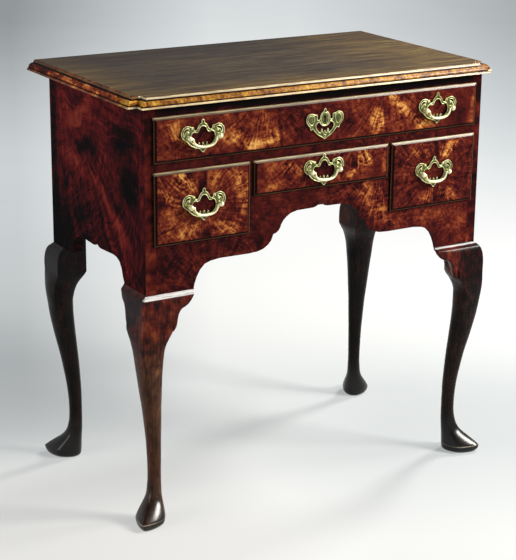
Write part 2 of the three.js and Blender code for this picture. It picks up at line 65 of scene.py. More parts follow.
SIDE_LOW, SIDE_HIGH = node_box("side_left")
TOP_LOW, TOP_HIGH = node_box("top_board")
HALF_WIDTH = -SIDE_LOW[0]
HALF_DEPTH = SIDE_HIGH[1]
CARCASE_BOTTOM = SIDE_LOW[2]
FRONT_FACE = -HALF_DEPTH


def placed(x, y, z):
    """A point of the carcase's own frame, in metres of the row frame."""
    return Vector((x * MM, (y + SHIFT_Y) * MM, z * MM))


def show(name, data):
    """An object of some data, linked to the scene."""
    made = bpy.data.objects.new(name, data)
    bpy.context.scene.collection.objects.link(made)
    return made


# Camera at the photograph's viewing angle
CAMERA_PLACE = (-1466.2, -2411.7, 1211.5)
CAMERA_YAW = 31.07
CAMERA_PITCH = -17.43
CAMERA_ROLL = 0.58
CAMERA_LENS = 108.06
CAMERA_SENSOR = 36.0
CAMERA_FAR = 100


def make_camera():
    """The camera, turned right by its yaw, up by its pitch and about its own axis by its roll."""
    yaw, pitch, roll = (math.radians(a) for a in (CAMERA_YAW, CAMERA_PITCH, CAMERA_ROLL))
    data = bpy.data.cameras.new("camera")
    data.lens = CAMERA_LENS
    data.sensor_fit = "VERTICAL"
    data.sensor_height = CAMERA_SENSOR
    data.clip_end = CAMERA_FAR
    camera = show("camera", data)
    camera.matrix_world = (
        Matrix.Translation(placed(*CAMERA_PLACE)) @ Matrix.Rotation(-yaw, 4, "Z")
        @ Matrix.Rotation(math.pi / 2 + pitch, 4, "X") @ Matrix.Rotation(roll, 4, "Z"))
    bpy.context.scene.camera = camera


# Node materials
def tint(colour):
    """An sRGB colour as three shares of 255, in linear light with full alpha."""
    return tuple(shade / 12.92 if shade <= 0.04045 else ((shade + 0.055) / 1.055) ** 2.4
                 for shade in (value / 255 for value in colour)) + (1.0,)


def reckoned(operation, swapped=False):
    """A method that makes a Math node of a value and what it is reckoned with."""
    def method(*numbers):
        return numbers[0].paint.math(operation, *(reversed(numbers) if swapped else numbers))
    return method


class Value:
    """A number that varies over the surface, reckoned with as a plain number is."""
    __add__ = __radd__ = reckoned("ADD")
    __mul__ = __rmul__ = reckoned("MULTIPLY")
    __sub__, __rsub__ = reckoned("SUBTRACT"), reckoned("SUBTRACT", swapped=True)
    __truediv__, __rtruediv__ = reckoned("DIVIDE"), reckoned("DIVIDE", swapped=True)
    __gt__, __lt__, __abs__ = reckoned("GREATER_THAN"), reckoned("LESS_THAN"), reckoned("ABSOLUTE")

    def __init__(self, paint, socket):
        self.paint, self.socket = paint, socket

    def span(self, low, high, to_low=0.0, to_high=1.0, smooth=True):
        """The value carried from low..high to another span, and held there."""
        inputs = {"Value": self, "From Min": low, "From Max": high, "To Min": to_low, "To Max": to_high}
        kind = "SMOOTHSTEP" if smooth else "LINEAR"
        return self.paint.value("MapRange", inputs, interpolation_type=kind, clamp=True)

    def band(self, start, full, fade, end):
        """1 between full and fade, 0 before start and after end."""
        return self.paint.least(self.span(start, full), self.span(end, fade))


class Paint:
    """The nodes of a material or a world under construction."""

    def __init__(self, name, blocks=bpy.data.materials, output="OutputMaterial"):
        self.block = blocks.new(name)
        self.block.use_nodes = True
        self.tree = self.block.node_tree
        self.tree.nodes.clear()
        self.output = self.node(output)

    def node(self, kind, inputs=(), **settings):
        made = self.tree.nodes.new("ShaderNode" + kind)
        for key, value in settings.items():
            setattr(made, key, value)
        for key, value in dict(inputs).items():
            self.feed(value, made.inputs[key])
        return made

    def feed(self, value, socket):
        value = value.socket if isinstance(value, Value) else value
        if isinstance(value, bpy.types.NodeSocket):
            self.tree.links.new(value, socket)
        else:
            socket.default_value = value

    def finish(self, shader):
        self.tree.links.new(shader.outputs[0], self.output.inputs["Surface"])
        return self.block

    def value(self, kind, inputs, **settings):
        return Value(self, self.node(kind, inputs, **settings).outputs[0])

    def math(self, operation, *numbers):
        return self.value("Math", enumerate(numbers), operation=operation)

    def least(self, first, *others):
        for other in others:
            first = self.math("MINIMUM", first, other)
        return first

    def most(self, first, *others):
        for other in others:
            first = self.math("MAXIMUM", first, other)
        return first

    def choose(self, factor, a, b):
        return self.value("Mix", {0: factor, 2: a, 3: b})

    def vector(self, operation, a, b):
        return self.node("VectorMath", {0: a, 1: b}, operation=operation).outputs[0]

    def length(self, vector):
        made = self.node("VectorMath", {0: vector}, operation="LENGTH")
        return Value(self, made.outputs["Value"])

    def place(self):
        """The point being shaded, in carcase millimetres."""
        own = self.vector("MULTIPLY", self.node("TexCoord").outputs["Object"], (1 / MM,) * 3)
        return self.vector("SUBTRACT", own, (0, SHIFT_Y, 0))

    def mapped(self, vector, scale=(1, 1, 1), turn=(0, 0, 0)):
        turn = tuple(math.radians(angle) for angle in turn)
        return self.node("Mapping", {"Vector": vector, "Scale": scale, "Rotation": turn}).outputs[0]

    def parts(self, vector):
        return [Value(self, part) for part in self.node("SeparateXYZ", {0: vector}).outputs]

    def joined(self, x, y, z):
        return self.node("CombineXYZ", {0: x, 1: y, 2: z}).outputs[0]

    def noise(self, vector, scale, detail=3.0, rough=0.5):
        return self.value("TexNoise", {"Vector": vector, "Scale": scale, "Detail": detail,
                                       "Roughness": rough})

    def grain(self, vector, scale, detail=3.0, rough=0.5, turn=(0, 0, 0)):
        """Noise with its own scale on each axis."""
        return self.noise(self.mapped(vector, scale, turn), 1.0, detail, rough)

    def waver(self, vector, scale, amount):
        """The vector pushed about by a noise colour, up to half an amount each way."""
        push = self.node("TexNoise", {"Vector": vector, "Scale": scale}).outputs["Color"]
        size = (amount,) * 3 if isinstance(amount, float) else amount
        push = self.vector("MULTIPLY", self.vector("SUBTRACT", push, (0.5, 0.5, 0.5)), size)
        return self.vector("ADD", vector, push)

    def mix(self, factor, a, b, blend="MIX"):
        made = self.node("Mix", {0: factor}, data_type="RGBA", blend_type=blend)
        colours = [s for s in made.inputs if s.type == "RGBA"]
        for value, socket in zip((a, b), colours):
            self.feed(tint(value) if isinstance(value, tuple) else value, socket)
        return next(s for s in made.outputs if s.type == "RGBA")

    def over(self, colour, *layers):
        """A colour with others laid over it, each [share, colour]."""
        for share, shade in layers:
            colour = self.mix(share, colour, shade)
        return colour

    def ramp(self, factor, *stops):
        made = self.node("ValToRGB", {"Fac": factor})
        elements = made.color_ramp.elements
        while len(elements) < len(stops):
            elements.new(1)
        for element, (position, colour) in zip(elements, stops):
            element.position = position
            element.color = tint(colour)
        return made.outputs["Color"]

    def bump(self, height, distance, strength):
        inputs = {"Height": height, "Distance": distance * MM, "Strength": strength}
        return self.node("Bump", inputs).outputs[0]

    def blend(self, share, a, b):
        """A mix of two shaders as the surface."""
        return self.finish(self.node("MixShader", {0: share, 1: a.outputs[0], 2: b.outputs[0]}))

    def surface(self, colour, rough, normal, metal=0.0, specular=0.0, coat=0.0, coat_rough=0.27):
        return self.finish(self.node("BsdfPrincipled", {
            "Base Color": colour, "Roughness": rough, "Metallic": metal, "Normal": normal,
            "Specular IOR Level": specular, "Coat Weight": coat, "Coat Roughness": coat_rough}))


# Floor and room. A painted pool of light lies where the camera looks: across its view and away from it,
# the floor is toned with painted shade by how far a point leans to a side and how far it drops below the
# camera.
FLOOR_HALF = 60000.0
POOL_TURN = 31.0
POOL_START = 2822.0
POOL_HEIGHT = 1211.0
POOL_LEAST_REACH = 900.0
SEEN_CLOSE = 0.5
HORIZON = (216, 220, 222)
CEILING = (70, 72, 75)
FAR_SHADE = 0.46
WORLD_COLOUR = (226, 232, 240)
WORLD_STRENGTH = 0.1


def seen_share(paint):
    """1 for the rays that show the stage itself: from the camera, and by way of gloss or glass."""
    path = paint.node("LightPath").outputs
    return paint.most(path["Is Camera Ray"], path["Is Glossy Ray"], path["Is Transmission Ray"])


def stage_material():
    """Pale paper, brightest in a painted pool of light round the object, greyer with painted shade to the
    left, the right and far away, and with the object's shadow painted round it.
    """
    paint = Paint("backdrop_paper")
    across, deep, _ = paint.parts(paint.mapped(paint.place(), turn=(0, 0, POOL_TURN)))
    reach = paint.most(deep + POOL_START, POOL_LEAST_REACH)
    lean, drop = across / reach, POOL_HEIGHT / reach
    # Painted shade towards the left and the right of the view.
    left = lean.span(-0.03, -0.15, smooth=False) * drop.span(0.34, 0.46, 0.56, 0.04)
    right = lean.span(0.02, 0.15, smooth=False) * drop.span(0.3, 0.21, 0.0, 0.38)
    # Painted shadow of the object on the floor round and behind it, and painted shade on the floor to the
    # right.
    near = (drop.span(0.31, 0.39, 0, 0.25) + drop.span(0.41, 0.5, 0, -0.28)
            + lean.span(-0.02, 0.1) * drop.span(0.34, 0.4, 0, 0.16))
    # Painted shade far away.
    far = drop.span(0.25, 0.13, 0, FAR_SHADE)
    mottle = paint.noise(paint.place(), 0.003) * 0.04
    distance = paint.length(paint.place())
    horizon = distance.span(5500, 11000)
    shade = (left + right + near + far + mottle) * (1.0 - horizon) + horizon * FAR_SHADE
    colour = paint.ramp(shade, (0, (255, 255, 254)), (0.35, (226, 230, 231)), (0.7, (190, 195, 198)),
                        (1, (146, 152, 154)))
    paper = paint.node("BsdfPrincipled", {
        "Base Color": paint.mix(1.0, colour, (204, 205, 205), "MULTIPLY"), "Roughness": 0.9,
        "Specular IOR Level": 0.0})
    glow = paint.node("Emission", {"Color": colour, "Strength": 1.0})
    seen = seen_share(paint) * distance.span(500, 1900, SEEN_CLOSE, 1.0)
    return paint.blend(seen, paper, glow)


def make_stage():
    mesh = bpy.data.meshes.new("floor")
    mesh.from_pydata([placed(x * FLOOR_HALF, y * FLOOR_HALF, 0.0)
                      for x, y in ((-1, -1), (1, -1), (1, 1), (-1, 1))], [], [(0, 1, 2, 3)])
    mesh.materials.append(stage_material())
    show("floor", mesh)


def make_room():
    """Plain soft light, shown as a pale haze at the horizon under a darker ceiling."""
    paint = Paint("room", bpy.data.worlds, "OutputWorld")
    up = paint.parts(paint.node("TexCoord").outputs["Generated"])[2]
    haze = paint.ramp(up.span(0.3, 0.75), (0.0, HORIZON), (1.0, CEILING))
    light = paint.node("Background", {"Color": tint(WORLD_COLOUR), "Strength": WORLD_STRENGTH})
    shown = paint.node("Background", {"Color": haze, "Strength": 1.0})
    bpy.context.scene.world = paint.blend(seen_share(paint), light, shown)


# Each lamp: [name, direction from the object, distance, side of its square, watts, colour]
LAMPS = [
    ["right_front", (0.65, -0.57, 0.54), 2600, 700, 96.0, (255, 251, 244)],
    ["right_back", (0.76, 0.20, 0.60), 2500, 400, 64.0, (255, 252, 246)],
    ["high_right", (0.54, -0.22, 0.81), 2600, 420, 22.0, (255, 252, 246)],
    ["left_fill", (-0.95, 0.05, 0.34), 2800, 1600, 31.0, (255, 250, 244)],
]
LAMP_AIM = (0, 0, 400)


def make_lights():
    for name, direction, distance, size, watts, colour in LAMPS:
        data = bpy.data.lights.new(name, "AREA")
        data.shape = "RECTANGLE"
        data.size = data.size_y = size * MM
        data.energy = watts
        data.color = tint(colour)[:3]
        lamp = show(name, data)
        way = Vector(direction).normalized()
        lamp.location = placed(*LAMP_AIM) + way * distance * MM
        lamp.rotation_euler = (-way).to_track_quat("-Z", "Y").to_euler()


bpy.context.scene.view_settings.view_transform = "Standard"
make_camera()
make_stage()
make_lights()
make_room()


# Finishes
SEAM = 0.3
LEG_TOP = CARCASE_BOTTOM - SEAM
LIP_PROUD = 6.0
LIP_OVERLAP = 4.5
LIP_CLEAR = 1.0
# Width of the lip painted dark as shade
LIP_DARK = 5.4
LIP_FADE = 1.2
LIP_COAT = 0.35
PLATE_THICKNESS = 1.6
PLATE_BACK = FRONT_FACE - LIP_PROUD - SEAM
PLATE_FACE = PLATE_BACK - PLATE_THICKNESS
TAIL_LAP = 4.0
TAIL_PITCH = 24.0
SIDE_EDGE_START = 323.0
PAD_EDGE = 12.4
WOOD_COAT = 0.08
FIGURE_ROUGHNESS = 0.36
FIGURE_STOPS = ((0.0, (10, 4, 5)), (0.2, (38, 10, 12)), (0.36, (78, 24, 20)), (0.5, (112, 46, 29)),
                (0.64, (149, 81, 41)), (0.82, (187, 124, 62)), (1.0, (218, 165, 92)))


def patch_sum(paint, place, patches):
    """Soft ellipses of a figure, each [x, z, half length, half width, angle, strength], summed."""
    total = 0
    for x, z, length, width, angle, strength in patches:
        local = paint.node("Mapping", {
            "Vector": place, "Location": (x, 0, z), "Rotation": (0, math.radians(-angle), 0),
            "Scale": (length, 1e6, width)}, vector_type="TEXTURE").outputs[0]
        total += paint.length(local).span(1.25, 0.25, 0.0, strength)
    return total


def flame(paint, place, origin, turns, stretch):
    """Streaks that spread from a point, as in a crotch of the tree, and the reach from it."""
    x, _, z = paint.parts(place)
    flat = paint.joined(x - origin[0], 0.0, z - origin[1])
    reach = paint.length(flat) + 2.0
    spread = paint.node("VectorMath", {0: flat, "Scale": turns / reach}, operation="SCALE").outputs[0]
    a, _, c = paint.parts(spread)
    streaks = paint.noise(paint.joined(a, reach * stretch, c), 1.0, 4, 0.62)
    waves = paint.noise(paint.joined(a * 0.22, reach * 0.2, c * 0.22), 1.0, 4, 0.6)
    return streaks + waves * 0.75 - 0.875, reach


def dovetails(paint, flat, edges):
    """The share of a front that isn't oak tails let into its hidden ends, and the colour of the oak."""
    x, y, z = paint.parts(flat)
    x0, x1, z0, z1, back = edges
    end = paint.least(x - x0, x1 - x) < LIP_OVERLAP + LIP_FADE
    deep = y > FRONT_FACE + TAIL_LAP
    bottom, top = z0 + LIP_OVERLAP + LIP_CLEAR, z1 - LIP_OVERLAP - LIP_CLEAR
    count = max(1, round((top - bottom) / TAIL_PITCH))
    phase = paint.math("FRACT", (z - bottom) * (count / (top - bottom)))
    edge = y.span(back, FRONT_FACE + TAIL_LAP, 0.29, 0.38, smooth=False) - abs(phase - 0.5)
    grain = paint.grain(flat, (0.1, 0.03, 0.5), 4, 0.65)
    oak = paint.ramp(grain, (0.3, (88, 60, 35)), (0.5, (128, 94, 57)), (0.7, (164, 126, 82)))
    return 1.0 - end * deep * (edge > 0.0), paint.mix(edge.span(0.035, 0.01), oak, (34, 20, 12))


def shaded_lip_with_highlights(paint, flat, colour, edges):
    """The colour and the coat of a front whose lip is painted dark as shade, with painted highlights
    along its ridges and its upper lip.
    """
    x, _, z = paint.parts(flat)
    x0, x1, z0, z1, _ = edges
    below = z1 - z
    inside = paint.least(x - x0, x1 - x, z - z0, below)
    lip, upper_lip = (depth.span(LIP_DARK, LIP_DARK - LIP_FADE) for depth in (inside, below))
    highlight_breakup = paint.grain(flat, (0.04, 1.0, 1.0)).span(0.3, 0.6, 0.2, 0.85)
    # Painted shade: the lip is painted dark all round. Painted highlights: pale lines along its ridges
    # and over the upper lip.
    colour = paint.over(colour, (lip, (24, 10, 8)),
                        (inside.band(0.2, 0.6, 1.6, 2.4) * highlight_breakup * 0.3, (168, 124, 84)),
                        (below.span(4.8, 3.8) * highlight_breakup * 0.36, (176, 148, 108)),
                        (below.band(0.2, 0.6, 1.8, 2.6) * highlight_breakup * 0.6, (212, 196, 156)))
    return colour, WOOD_COAT + upper_lip * (LIP_COAT - WOOD_COAT)


def walnut_figure(name, base, origins, patches, edges=None):
    """Figured veneer: a dark ground, streaks from its origins, lit patches, and a front's lip painted
    dark as shade with painted highlights.
    """
    paint = Paint(name)
    flat = paint.place()
    place = paint.waver(paint.waver(flat, 0.028, 18.0), 0.14, 5.0)
    lit = patch_sum(paint, place, patches)
    bent = paint.waver(paint.waver(flat, 0.03, 12.0), 0.11, 5.0)
    streaks = 0
    for x, z, turns, near, far in origins:
        lines, reach = flame(paint, bent, (x, z), turns, 0.03)
        streaks += lines * reach.span(far, near)
    cloud = paint.noise(place, 0.04, 3, 0.6) - 0.5
    curl = paint.noise(paint.mapped(bent, (1.0, 1.0, 1.7)), 0.13, 4, 0.68) - 0.5
    fleck = paint.noise(paint.mapped(flat, (1.0, 1.0, 0.4)), 0.9, 2).span(0.32, 0.5)
    texture = streaks * 3.0 + curl * 1.8 + cloud * 1.9
    bright, dark = paint.most(lit, 0.0), paint.least(lit, 0.0)
    share = texture.span(-0.6, 0.5, 0.3, 1.25, smooth=False)
    tone = base + bright * share * 0.5 + dark * 0.5 + texture * (0.24 + bright * 0.14)
    colour = paint.ramp(tone, *FIGURE_STOPS)
    colour = paint.mix(fleck.span(1.0, 0.0, 0.0, 0.4), colour, (22, 7, 7))
    coat = WOOD_COAT
    if edges:
        colour, coat = shaded_lip_with_highlights(paint, flat, colour, edges)
        colour = paint.mix(*dovetails(paint, flat, edges), colour)
    normal = paint.bump(curl * 0.4 + fleck * 0.5, 0.05, 0.5)
    return paint.surface(colour, FIGURE_ROUGHNESS + cloud * 0.3, normal, coat=coat)


# Streak origins: [x, z, turns, full within, gone beyond]
# Patches: [x, z, half length, half width, angle, strength]
FIGURES = {
    "top": dict(
        base=0.4,
        origins=[(-112, 700, 17, 60, 170), (118, 690, 20, 70, 190), (-262, 600, 14, 40, 120)],
        patches=[(-268, 648, 30, 12, -38, 0.5), (-276, 668, 26, 10, 5, 0.35),
                 (-172, 640, 24, 14, 15, 0.5), (-150, 628, 30, 13, -12, 0.6),
                 (-120, 619, 30, 8, 0, 0.5), (-94, 626, 22, 16, -10, 0.6), (-112, 655, 14, 26, 0, 0.25),
                 (-20, 640, 70, 40, 0, -0.22), (50, 635, 50, 26, 0, -0.1), (103, 636, 19, 22, 0, 0.75),
                 (160, 645, 60, 13, -36, 0.5), (150, 662, 50, 10, -40, 0.3),
                 (204, 618, 30, 12, -20, 0.6), (266, 640, 34, 44, 0, -0.3), (303, 642, 6, 40, 0, 0.45),
                 (-222, 608, 60, 9, 0, -0.25), (-60, 672, 60, 7, 0, -0.2), (-82, 640, 5, 40, 0, -0.3),
                 (-222, 645, 24, 24, 0, -0.25)]),
    "left": dict(
        base=0.41,
        origins=[(-222, 530, 18, 70, 160), (-310, 600, 12, 40, 110)],
        patches=[(-254, 570, 28, 17, -35, 0.7), (-282, 552, 22, 14, -40, 0.3),
                 (-200, 572, 16, 22, 0, 0.5), (-156, 560, 18, 34, 25, 0.55),
                 (-148, 520, 16, 30, 0, 0.3), (-250, 492, 32, 15, 20, 0.42),
                 (-190, 492, 36, 16, -15, 0.45), (-286, 500, 16, 20, 0, 0.25),
                 (-224, 566, 8, 28, 0, -0.5), (-219, 484, 10, 12, 0, -0.6),
                 (-222, 536, 30, 18, 0, -0.3), (-275, 530, 26, 20, 0, 0.12)]),
    "centre": dict(
        base=0.37,
        origins=[(-20, 610, 17, 60, 150), (66, 616, 15, 40, 120)],
        patches=[(-58, 575, 32, 13, -30, 0.45), (-98, 566, 30, 22, 0, 0.25), (-80, 547, 36, 9, 10, 0.3),
                 (0, 562, 34, 24, 0, -0.25), (82, 570, 18, 20, 0, 0.75), (57, 550, 20, 10, 30, 0.5),
                 (64, 566, 5, 24, 25, -0.45), (122, 562, 8, 26, 0, 0.3), (106, 556, 14, 20, 0, -0.1)]),
    "right": dict(
        base=0.34,
        origins=[(228, 530, 17, 60, 160), (150, 600, 12, 30, 90)],
        patches=[(197, 570, 20, 17, -25, 0.4), (256, 574, 28, 13, 35, 0.65), (246, 562, 12, 8, 40, 0.3),
                 (213, 494, 20, 12, 20, 0.4), (251, 493, 28, 13, -15, 0.5), (172, 565, 14, 20, 0, 0.15),
                 (228, 572, 6, 20, 0, -0.4), (228, 492, 6, 16, 0, -0.4), (288, 530, 16, 60, 0, -0.1),
                 (303, 530, 4, 60, 0, 0.15)]),
    "carcase": dict(
        base=0.28,
        origins=[(120, 560, 16, 60, 170), (-200, 380, 12, 60, 220)],
        patches=[(102, 505, 44, 28, -40, 0.4), (120, 470, 34, 20, -30, 0.35),
                 (190, 455, 80, 20, 0, 0.28), (270, 450, 60, 30, 0, 0.25), (290, 420, 40, 30, 0, 0.2),
                 (315, 560, 9, 100, 0, 0.2), (-90, 520, 60, 24, -20, 0.12), (20, 522, 50, 16, 0, 0.12),
                 # The long dark patch at height 693 is painted shade under the top's overhang, across the
                 # upper rail.
                 (0, 693, 400, 15, 0, -1.1), (-260, 430, 60, 50, 0, -0.05),
                 (-160, 455, 50, 18, 0, 0.05)]),
}


SIDE_PATCHES = [
    (50, 647, 80, 20, -28, 0.26), (78, 546, 90, 22, 10, 0.16), (-38, 506, 66, 15, 34, 0.24),
    (-88, 450, 50, 12, 62, 0.24), (-10, 640, 40, 20, 0, 0.1), (110, 640, 50, 40, 0, 0.1),
    (-104, 628, 50, 26, 0, -0.28), (-124, 560, 52, 40, -20, -0.36), (26, 586, 48, 20, 0, -0.3),
    (150, 430, 70, 60, 0, -0.36), (165, 540, 18, 240, 0, -0.3), (50, 470, 50, 30, 0, -0.14),
    (-150, 660, 30, 30, 0, 0.08), (-166, 540, 6, 240, 0, 0.1),
]


def walnut_top():
    """The top board, its long grain from end to end, yellower along the front and the ends."""
    paint = Paint("walnut_top")
    flat = paint.place()
    place = paint.waver(flat, 0.007, (0.0, 14.0, 0.0))
    broad = paint.grain(place, (0.0035, 0.035, 1), 2, 0.6)
    bands = paint.grain(place, (0.008, 0.11, 1), 4, 0.72)
    fine = paint.grain(place, (0.03, 0.7, 1), 4, 0.7)
    pores = paint.grain(flat, (0.09, 1.7, 1), 2).span(0.36, 0.5)
    x, y, _ = paint.parts(flat)
    yellow = paint.most(y.span(-95, -175), x.span(-225, -325), x.span(40, 300) * 0.85)
    tone = (broad * 0.5 + bands * 1.7 + fine * 1.1 + yellow * 0.12
            + x.span(-100, -320, 0.0, -0.1) + y.span(40, 185, 0.0, -0.16) - 1.24)
    grey = paint.ramp(tone, (0.0, (20, 13, 10)), (0.3, (42, 31, 24)), (0.5, (60, 49, 35)),
                      (0.7, (82, 68, 47)), (1.0, (116, 98, 66)))
    gold = paint.ramp(tone, (0.0, (34, 24, 12)), (0.3, (60, 44, 22)), (0.5, (82, 63, 31)),
                      (0.7, (108, 86, 43)), (1.0, (144, 118, 64)))
    colour = paint.over(grey, (yellow * 0.85, gold), (pores.span(1.0, 0.0, 0.0, 0.35), (22, 15, 11)))
    height = bands * 0.2 + fine * 0.5 + pores * 0.4
    return paint.surface(colour, 0.45, paint.bump(height, 0.06, 0.5), specular=0.03)


def walnut_edge():
    """Cross-grained moulding: the grain runs in from the edge on each length."""
    paint = Paint("walnut_edge")
    flat = paint.place()
    place = paint.waver(flat, 0.1, 5.0)
    x, y, z = paint.parts(flat)
    front, down = TOP_LOW[1], TOP_HIGH[2] - z
    side = abs(x) > SIDE_EDGE_START
    blotch = paint.choose(side, paint.grain(place, (0.075, 0.03, 0.09), 5, 0.75),
                          paint.grain(place, (0.03, 0.04, 0.09), 5, 0.75))
    lines = paint.choose(side, paint.grain(place, (0.7, 0.1, 0.15)),
                         paint.grain(place, (0.1, 0.7, 0.15)))
    tone = (blotch * (2.3 + side) + lines * 0.7 - 1.02 - side * 0.42
            + side * y.span(30, 190, 0.0, -0.3) + x.span(60, 330, 0.0, -0.14))
    gold = paint.ramp(tone, (0.0, (48, 22, 8)), (0.25, (98, 56, 16)), (0.5, (150, 98, 30)),
                      (0.75, (190, 142, 50)), (1.0, (220, 178, 84)))
    red = paint.ramp(tone, (0.0, (42, 14, 10)), (0.3, (92, 32, 18)), (0.55, (152, 68, 32)),
                     (0.8, (214, 124, 62)), (1.0, (236, 166, 100)))
    # Painted highlights along the upper rim and the lower lip, fainter to the right and on the side
    # lengths, with painted glints at the front corners of the side lengths.
    rim, lip = down.band(0.2, 0.7, 3.1, 3.6), down.band(13.2, 13.6, 15.8, 16.2)
    highlight_breakup = paint.grain(flat, (0.03, 0.03, 0.3)).span(0.35, 0.55, 0.45, 1.0)
    corner = y.span(front + 9, front + 3)
    painted_highlight = ((rim + lip * 0.9) * highlight_breakup * x.span(60, 330, 1.0, 0.62)
            * (0.78 - side * 0.68 + side * corner * 0.8))
    # Painted shade in the two creases of the profile.
    crease_shade, foot = (abs(down - depth).span(1.0, 0.4) for depth in (4.5, 12.4))
    colour = paint.over(gold, (side * y.span(front + 60, front + 14, 1.0, 0.15), red),
                        (down.span(4.6, 3.8) * 0.75, (62, 36, 22)), (painted_highlight, (226, 213, 176)),
                        (paint.most(crease_shade, foot), (26, 11, 8)))
    return paint.surface(colour, blotch.span(0.2, 0.8, 0.3, 0.2), paint.bump(blotch + lines, 0.03, 0.4),
                         coat=0.34 - side * 0.2)


def walnut_side():
    """Dark red veneer of a side, its streaks falling forward from high at the back."""
    paint = Paint("walnut_side")
    place = paint.waver(paint.waver(paint.place(), 0.01, 70.0), 0.05, 12.0)
    _, y, z = paint.parts(place)
    swapped = paint.joined(y, 0.0, z)
    fall, _ = flame(paint, swapped, (210, 760), 22, 0.008)
    level = paint.grain(swapped, (0.012, 1, 0.11), 4, 0.65, turn=(0, 14, 0)) - 0.5
    cloud = paint.noise(place, 0.014, 3, 0.6) - 0.5
    curl = paint.grain(swapped, (0.12, 1, 0.05), turn=(0, -40, 0)) - 0.5
    streaks = paint.choose(z.span(560, 640), fall, level)
    patches = patch_sum(paint, swapped, SIDE_PATCHES)
    tone = (0.36 + z.span(540, 400, 0.0, -0.14) + patches * 0.95 + streaks * 0.95
            + cloud * 0.4 + curl * 0.6)
    colour = paint.ramp(tone, (0.0, (5, 2, 3)), (0.16, (23, 6, 8)), (0.34, (62, 13, 17)),
                        (0.5, (95, 25, 26)), (0.7, (124, 47, 35)), (1.0, (152, 80, 50)))
    stile = paint.parts(paint.place())[1].span(FRONT_FACE + 0.7, FRONT_FACE + 0.3)
    stile_tone = 0.31 + cloud * 0.9 + curl * 0.8
    colour = paint.mix(stile, colour, paint.ramp(stile_tone, *FIGURE_STOPS))
    return paint.surface(colour, 0.4, paint.bump(curl, 0.05, 0.4), coat=0.07)


def walnut_leg():
    """Straight-grained wood, brown below and red at the knee, with painted highlights along the shoulder
    and the pad's rim, and painted light and shade on some legs.
    """
    paint = Paint("walnut_leg")
    flat = paint.place()
    x, y, z = paint.parts(flat)
    place = paint.waver(flat, 0.03, 6.0)
    grain = paint.grain(place, (0.28, 0.28, 0.012), 4, 0.62)
    lines = paint.grain(place, (1.4, 1.4, 0.03))
    cloud = paint.noise(flat, 0.025, 3, 0.6)
    mottle = paint.grain(place, (0.07, 0.07, 0.045), 4, 0.68) - 0.5
    knee, foot, front = z.span(250, 350), z.span(90, 20), y.span(120, -150)
    right = x > 0.0
    block = x.span(306, 272) * x.span(200, 240) * z.span(318, 346)
    outer = (x.span(-HALF_WIDTH - 2, -HALF_WIDTH - 9) * knee
             * y.span(FRONT_FACE - 6, FRONT_FACE + 6))
    # Painted light and shade: the front-left leg and the right front knee block lighter; the back legs,
    # the right legs and the left faces of the left knees darker.
    tone = (grain * 0.62 + cloud * 0.4 + lines * 0.16 - 0.42 + x.span(0, -250) * front * 0.17
            - foot * 0.16 + y.span(-60, 120, 0.0, -0.11) - x.span(0, 250) * 0.1
            + block * 0.3 - outer * 0.16 + mottle * z.span(200, 330, 0.3, 1.2))
    brown = paint.ramp(tone, (0.0, (12, 8, 7)), (0.2, (40, 24, 17)), (0.42, (82, 51, 34)),
                       (0.7, (126, 86, 56)), (1.0, (164, 122, 82)))
    red = paint.ramp(tone, (0.0, (12, 3, 4)), (0.2, (40, 11, 10)), (0.42, (84, 28, 19)),
                     (0.7, (132, 66, 34)), (1.0, (172, 100, 50)))
    # Painted highlight along the shoulder's bevel, strongest on the front-left leg.
    bevel = (z.band(LEG_TOP - 7.4, LEG_TOP - 6.8, LEG_TOP - 1.2, LEG_TOP - 0.6)
             * y.span(FRONT_FACE, FRONT_FACE - 0.6))
    low_part = z.span(LEG_TOP - 3.6, LEG_TOP - 3.0, 1.0, 0.0)
    highlight_breakup = paint.grain(flat, (0.05, 0.5, 0.5)).span(0.3, 0.6, 0.55, 1.0)
    painted_highlight = bevel * highlight_breakup * (0.95 - right * low_part * 0.85 - right * 0.2)
    # Painted highlight along the pad's rim on the front of the feet.
    pad_highlight = abs(z - PAD_EDGE).span(1.3, 0.4) * cloud.span(0.35, 0.55, 0.15, 0.6) * front
    colour = paint.over(brown, (knee, red), (painted_highlight, (222, 222, 222)), (pad_highlight, (176, 164, 146)))
    rough = 0.26 + (cloud - 0.5) * 0.14 + foot * 0.06 + bevel * right * 0.6
    return paint.surface(colour, rough, paint.bump(grain * (1.0 - foot), 0.05, 0.4),
                         specular=0.1, coat=foot * 0.4, coat_rough=0.17)


def oak_board(name, grain_scale, pore_scale):
    """Oak of the hidden parts, its grain along the slowest axis of its scales."""
    paint = Paint(name)
    flat = paint.place()
    place = paint.waver(flat, 0.02, 5.0)
    pores = paint.grain(place, pore_scale)
    tone = paint.grain(place, grain_scale, 4, 0.65) * 1.3 + paint.noise(flat, 0.012, 3, 0.6) * 0.5 - 0.4
    colour = paint.ramp(tone, (0.0, (58, 38, 22)), (0.35, (98, 69, 41)), (0.6, (132, 98, 60)),
                        (1.0, (176, 138, 92)))
    colour = paint.mix(pores.span(0.52, 0.38, 0.0, 0.6), colour, (50, 32, 19))
    return paint.surface(colour, 0.66, paint.bump(pores, 0.12, 0.6), specular=0.3)


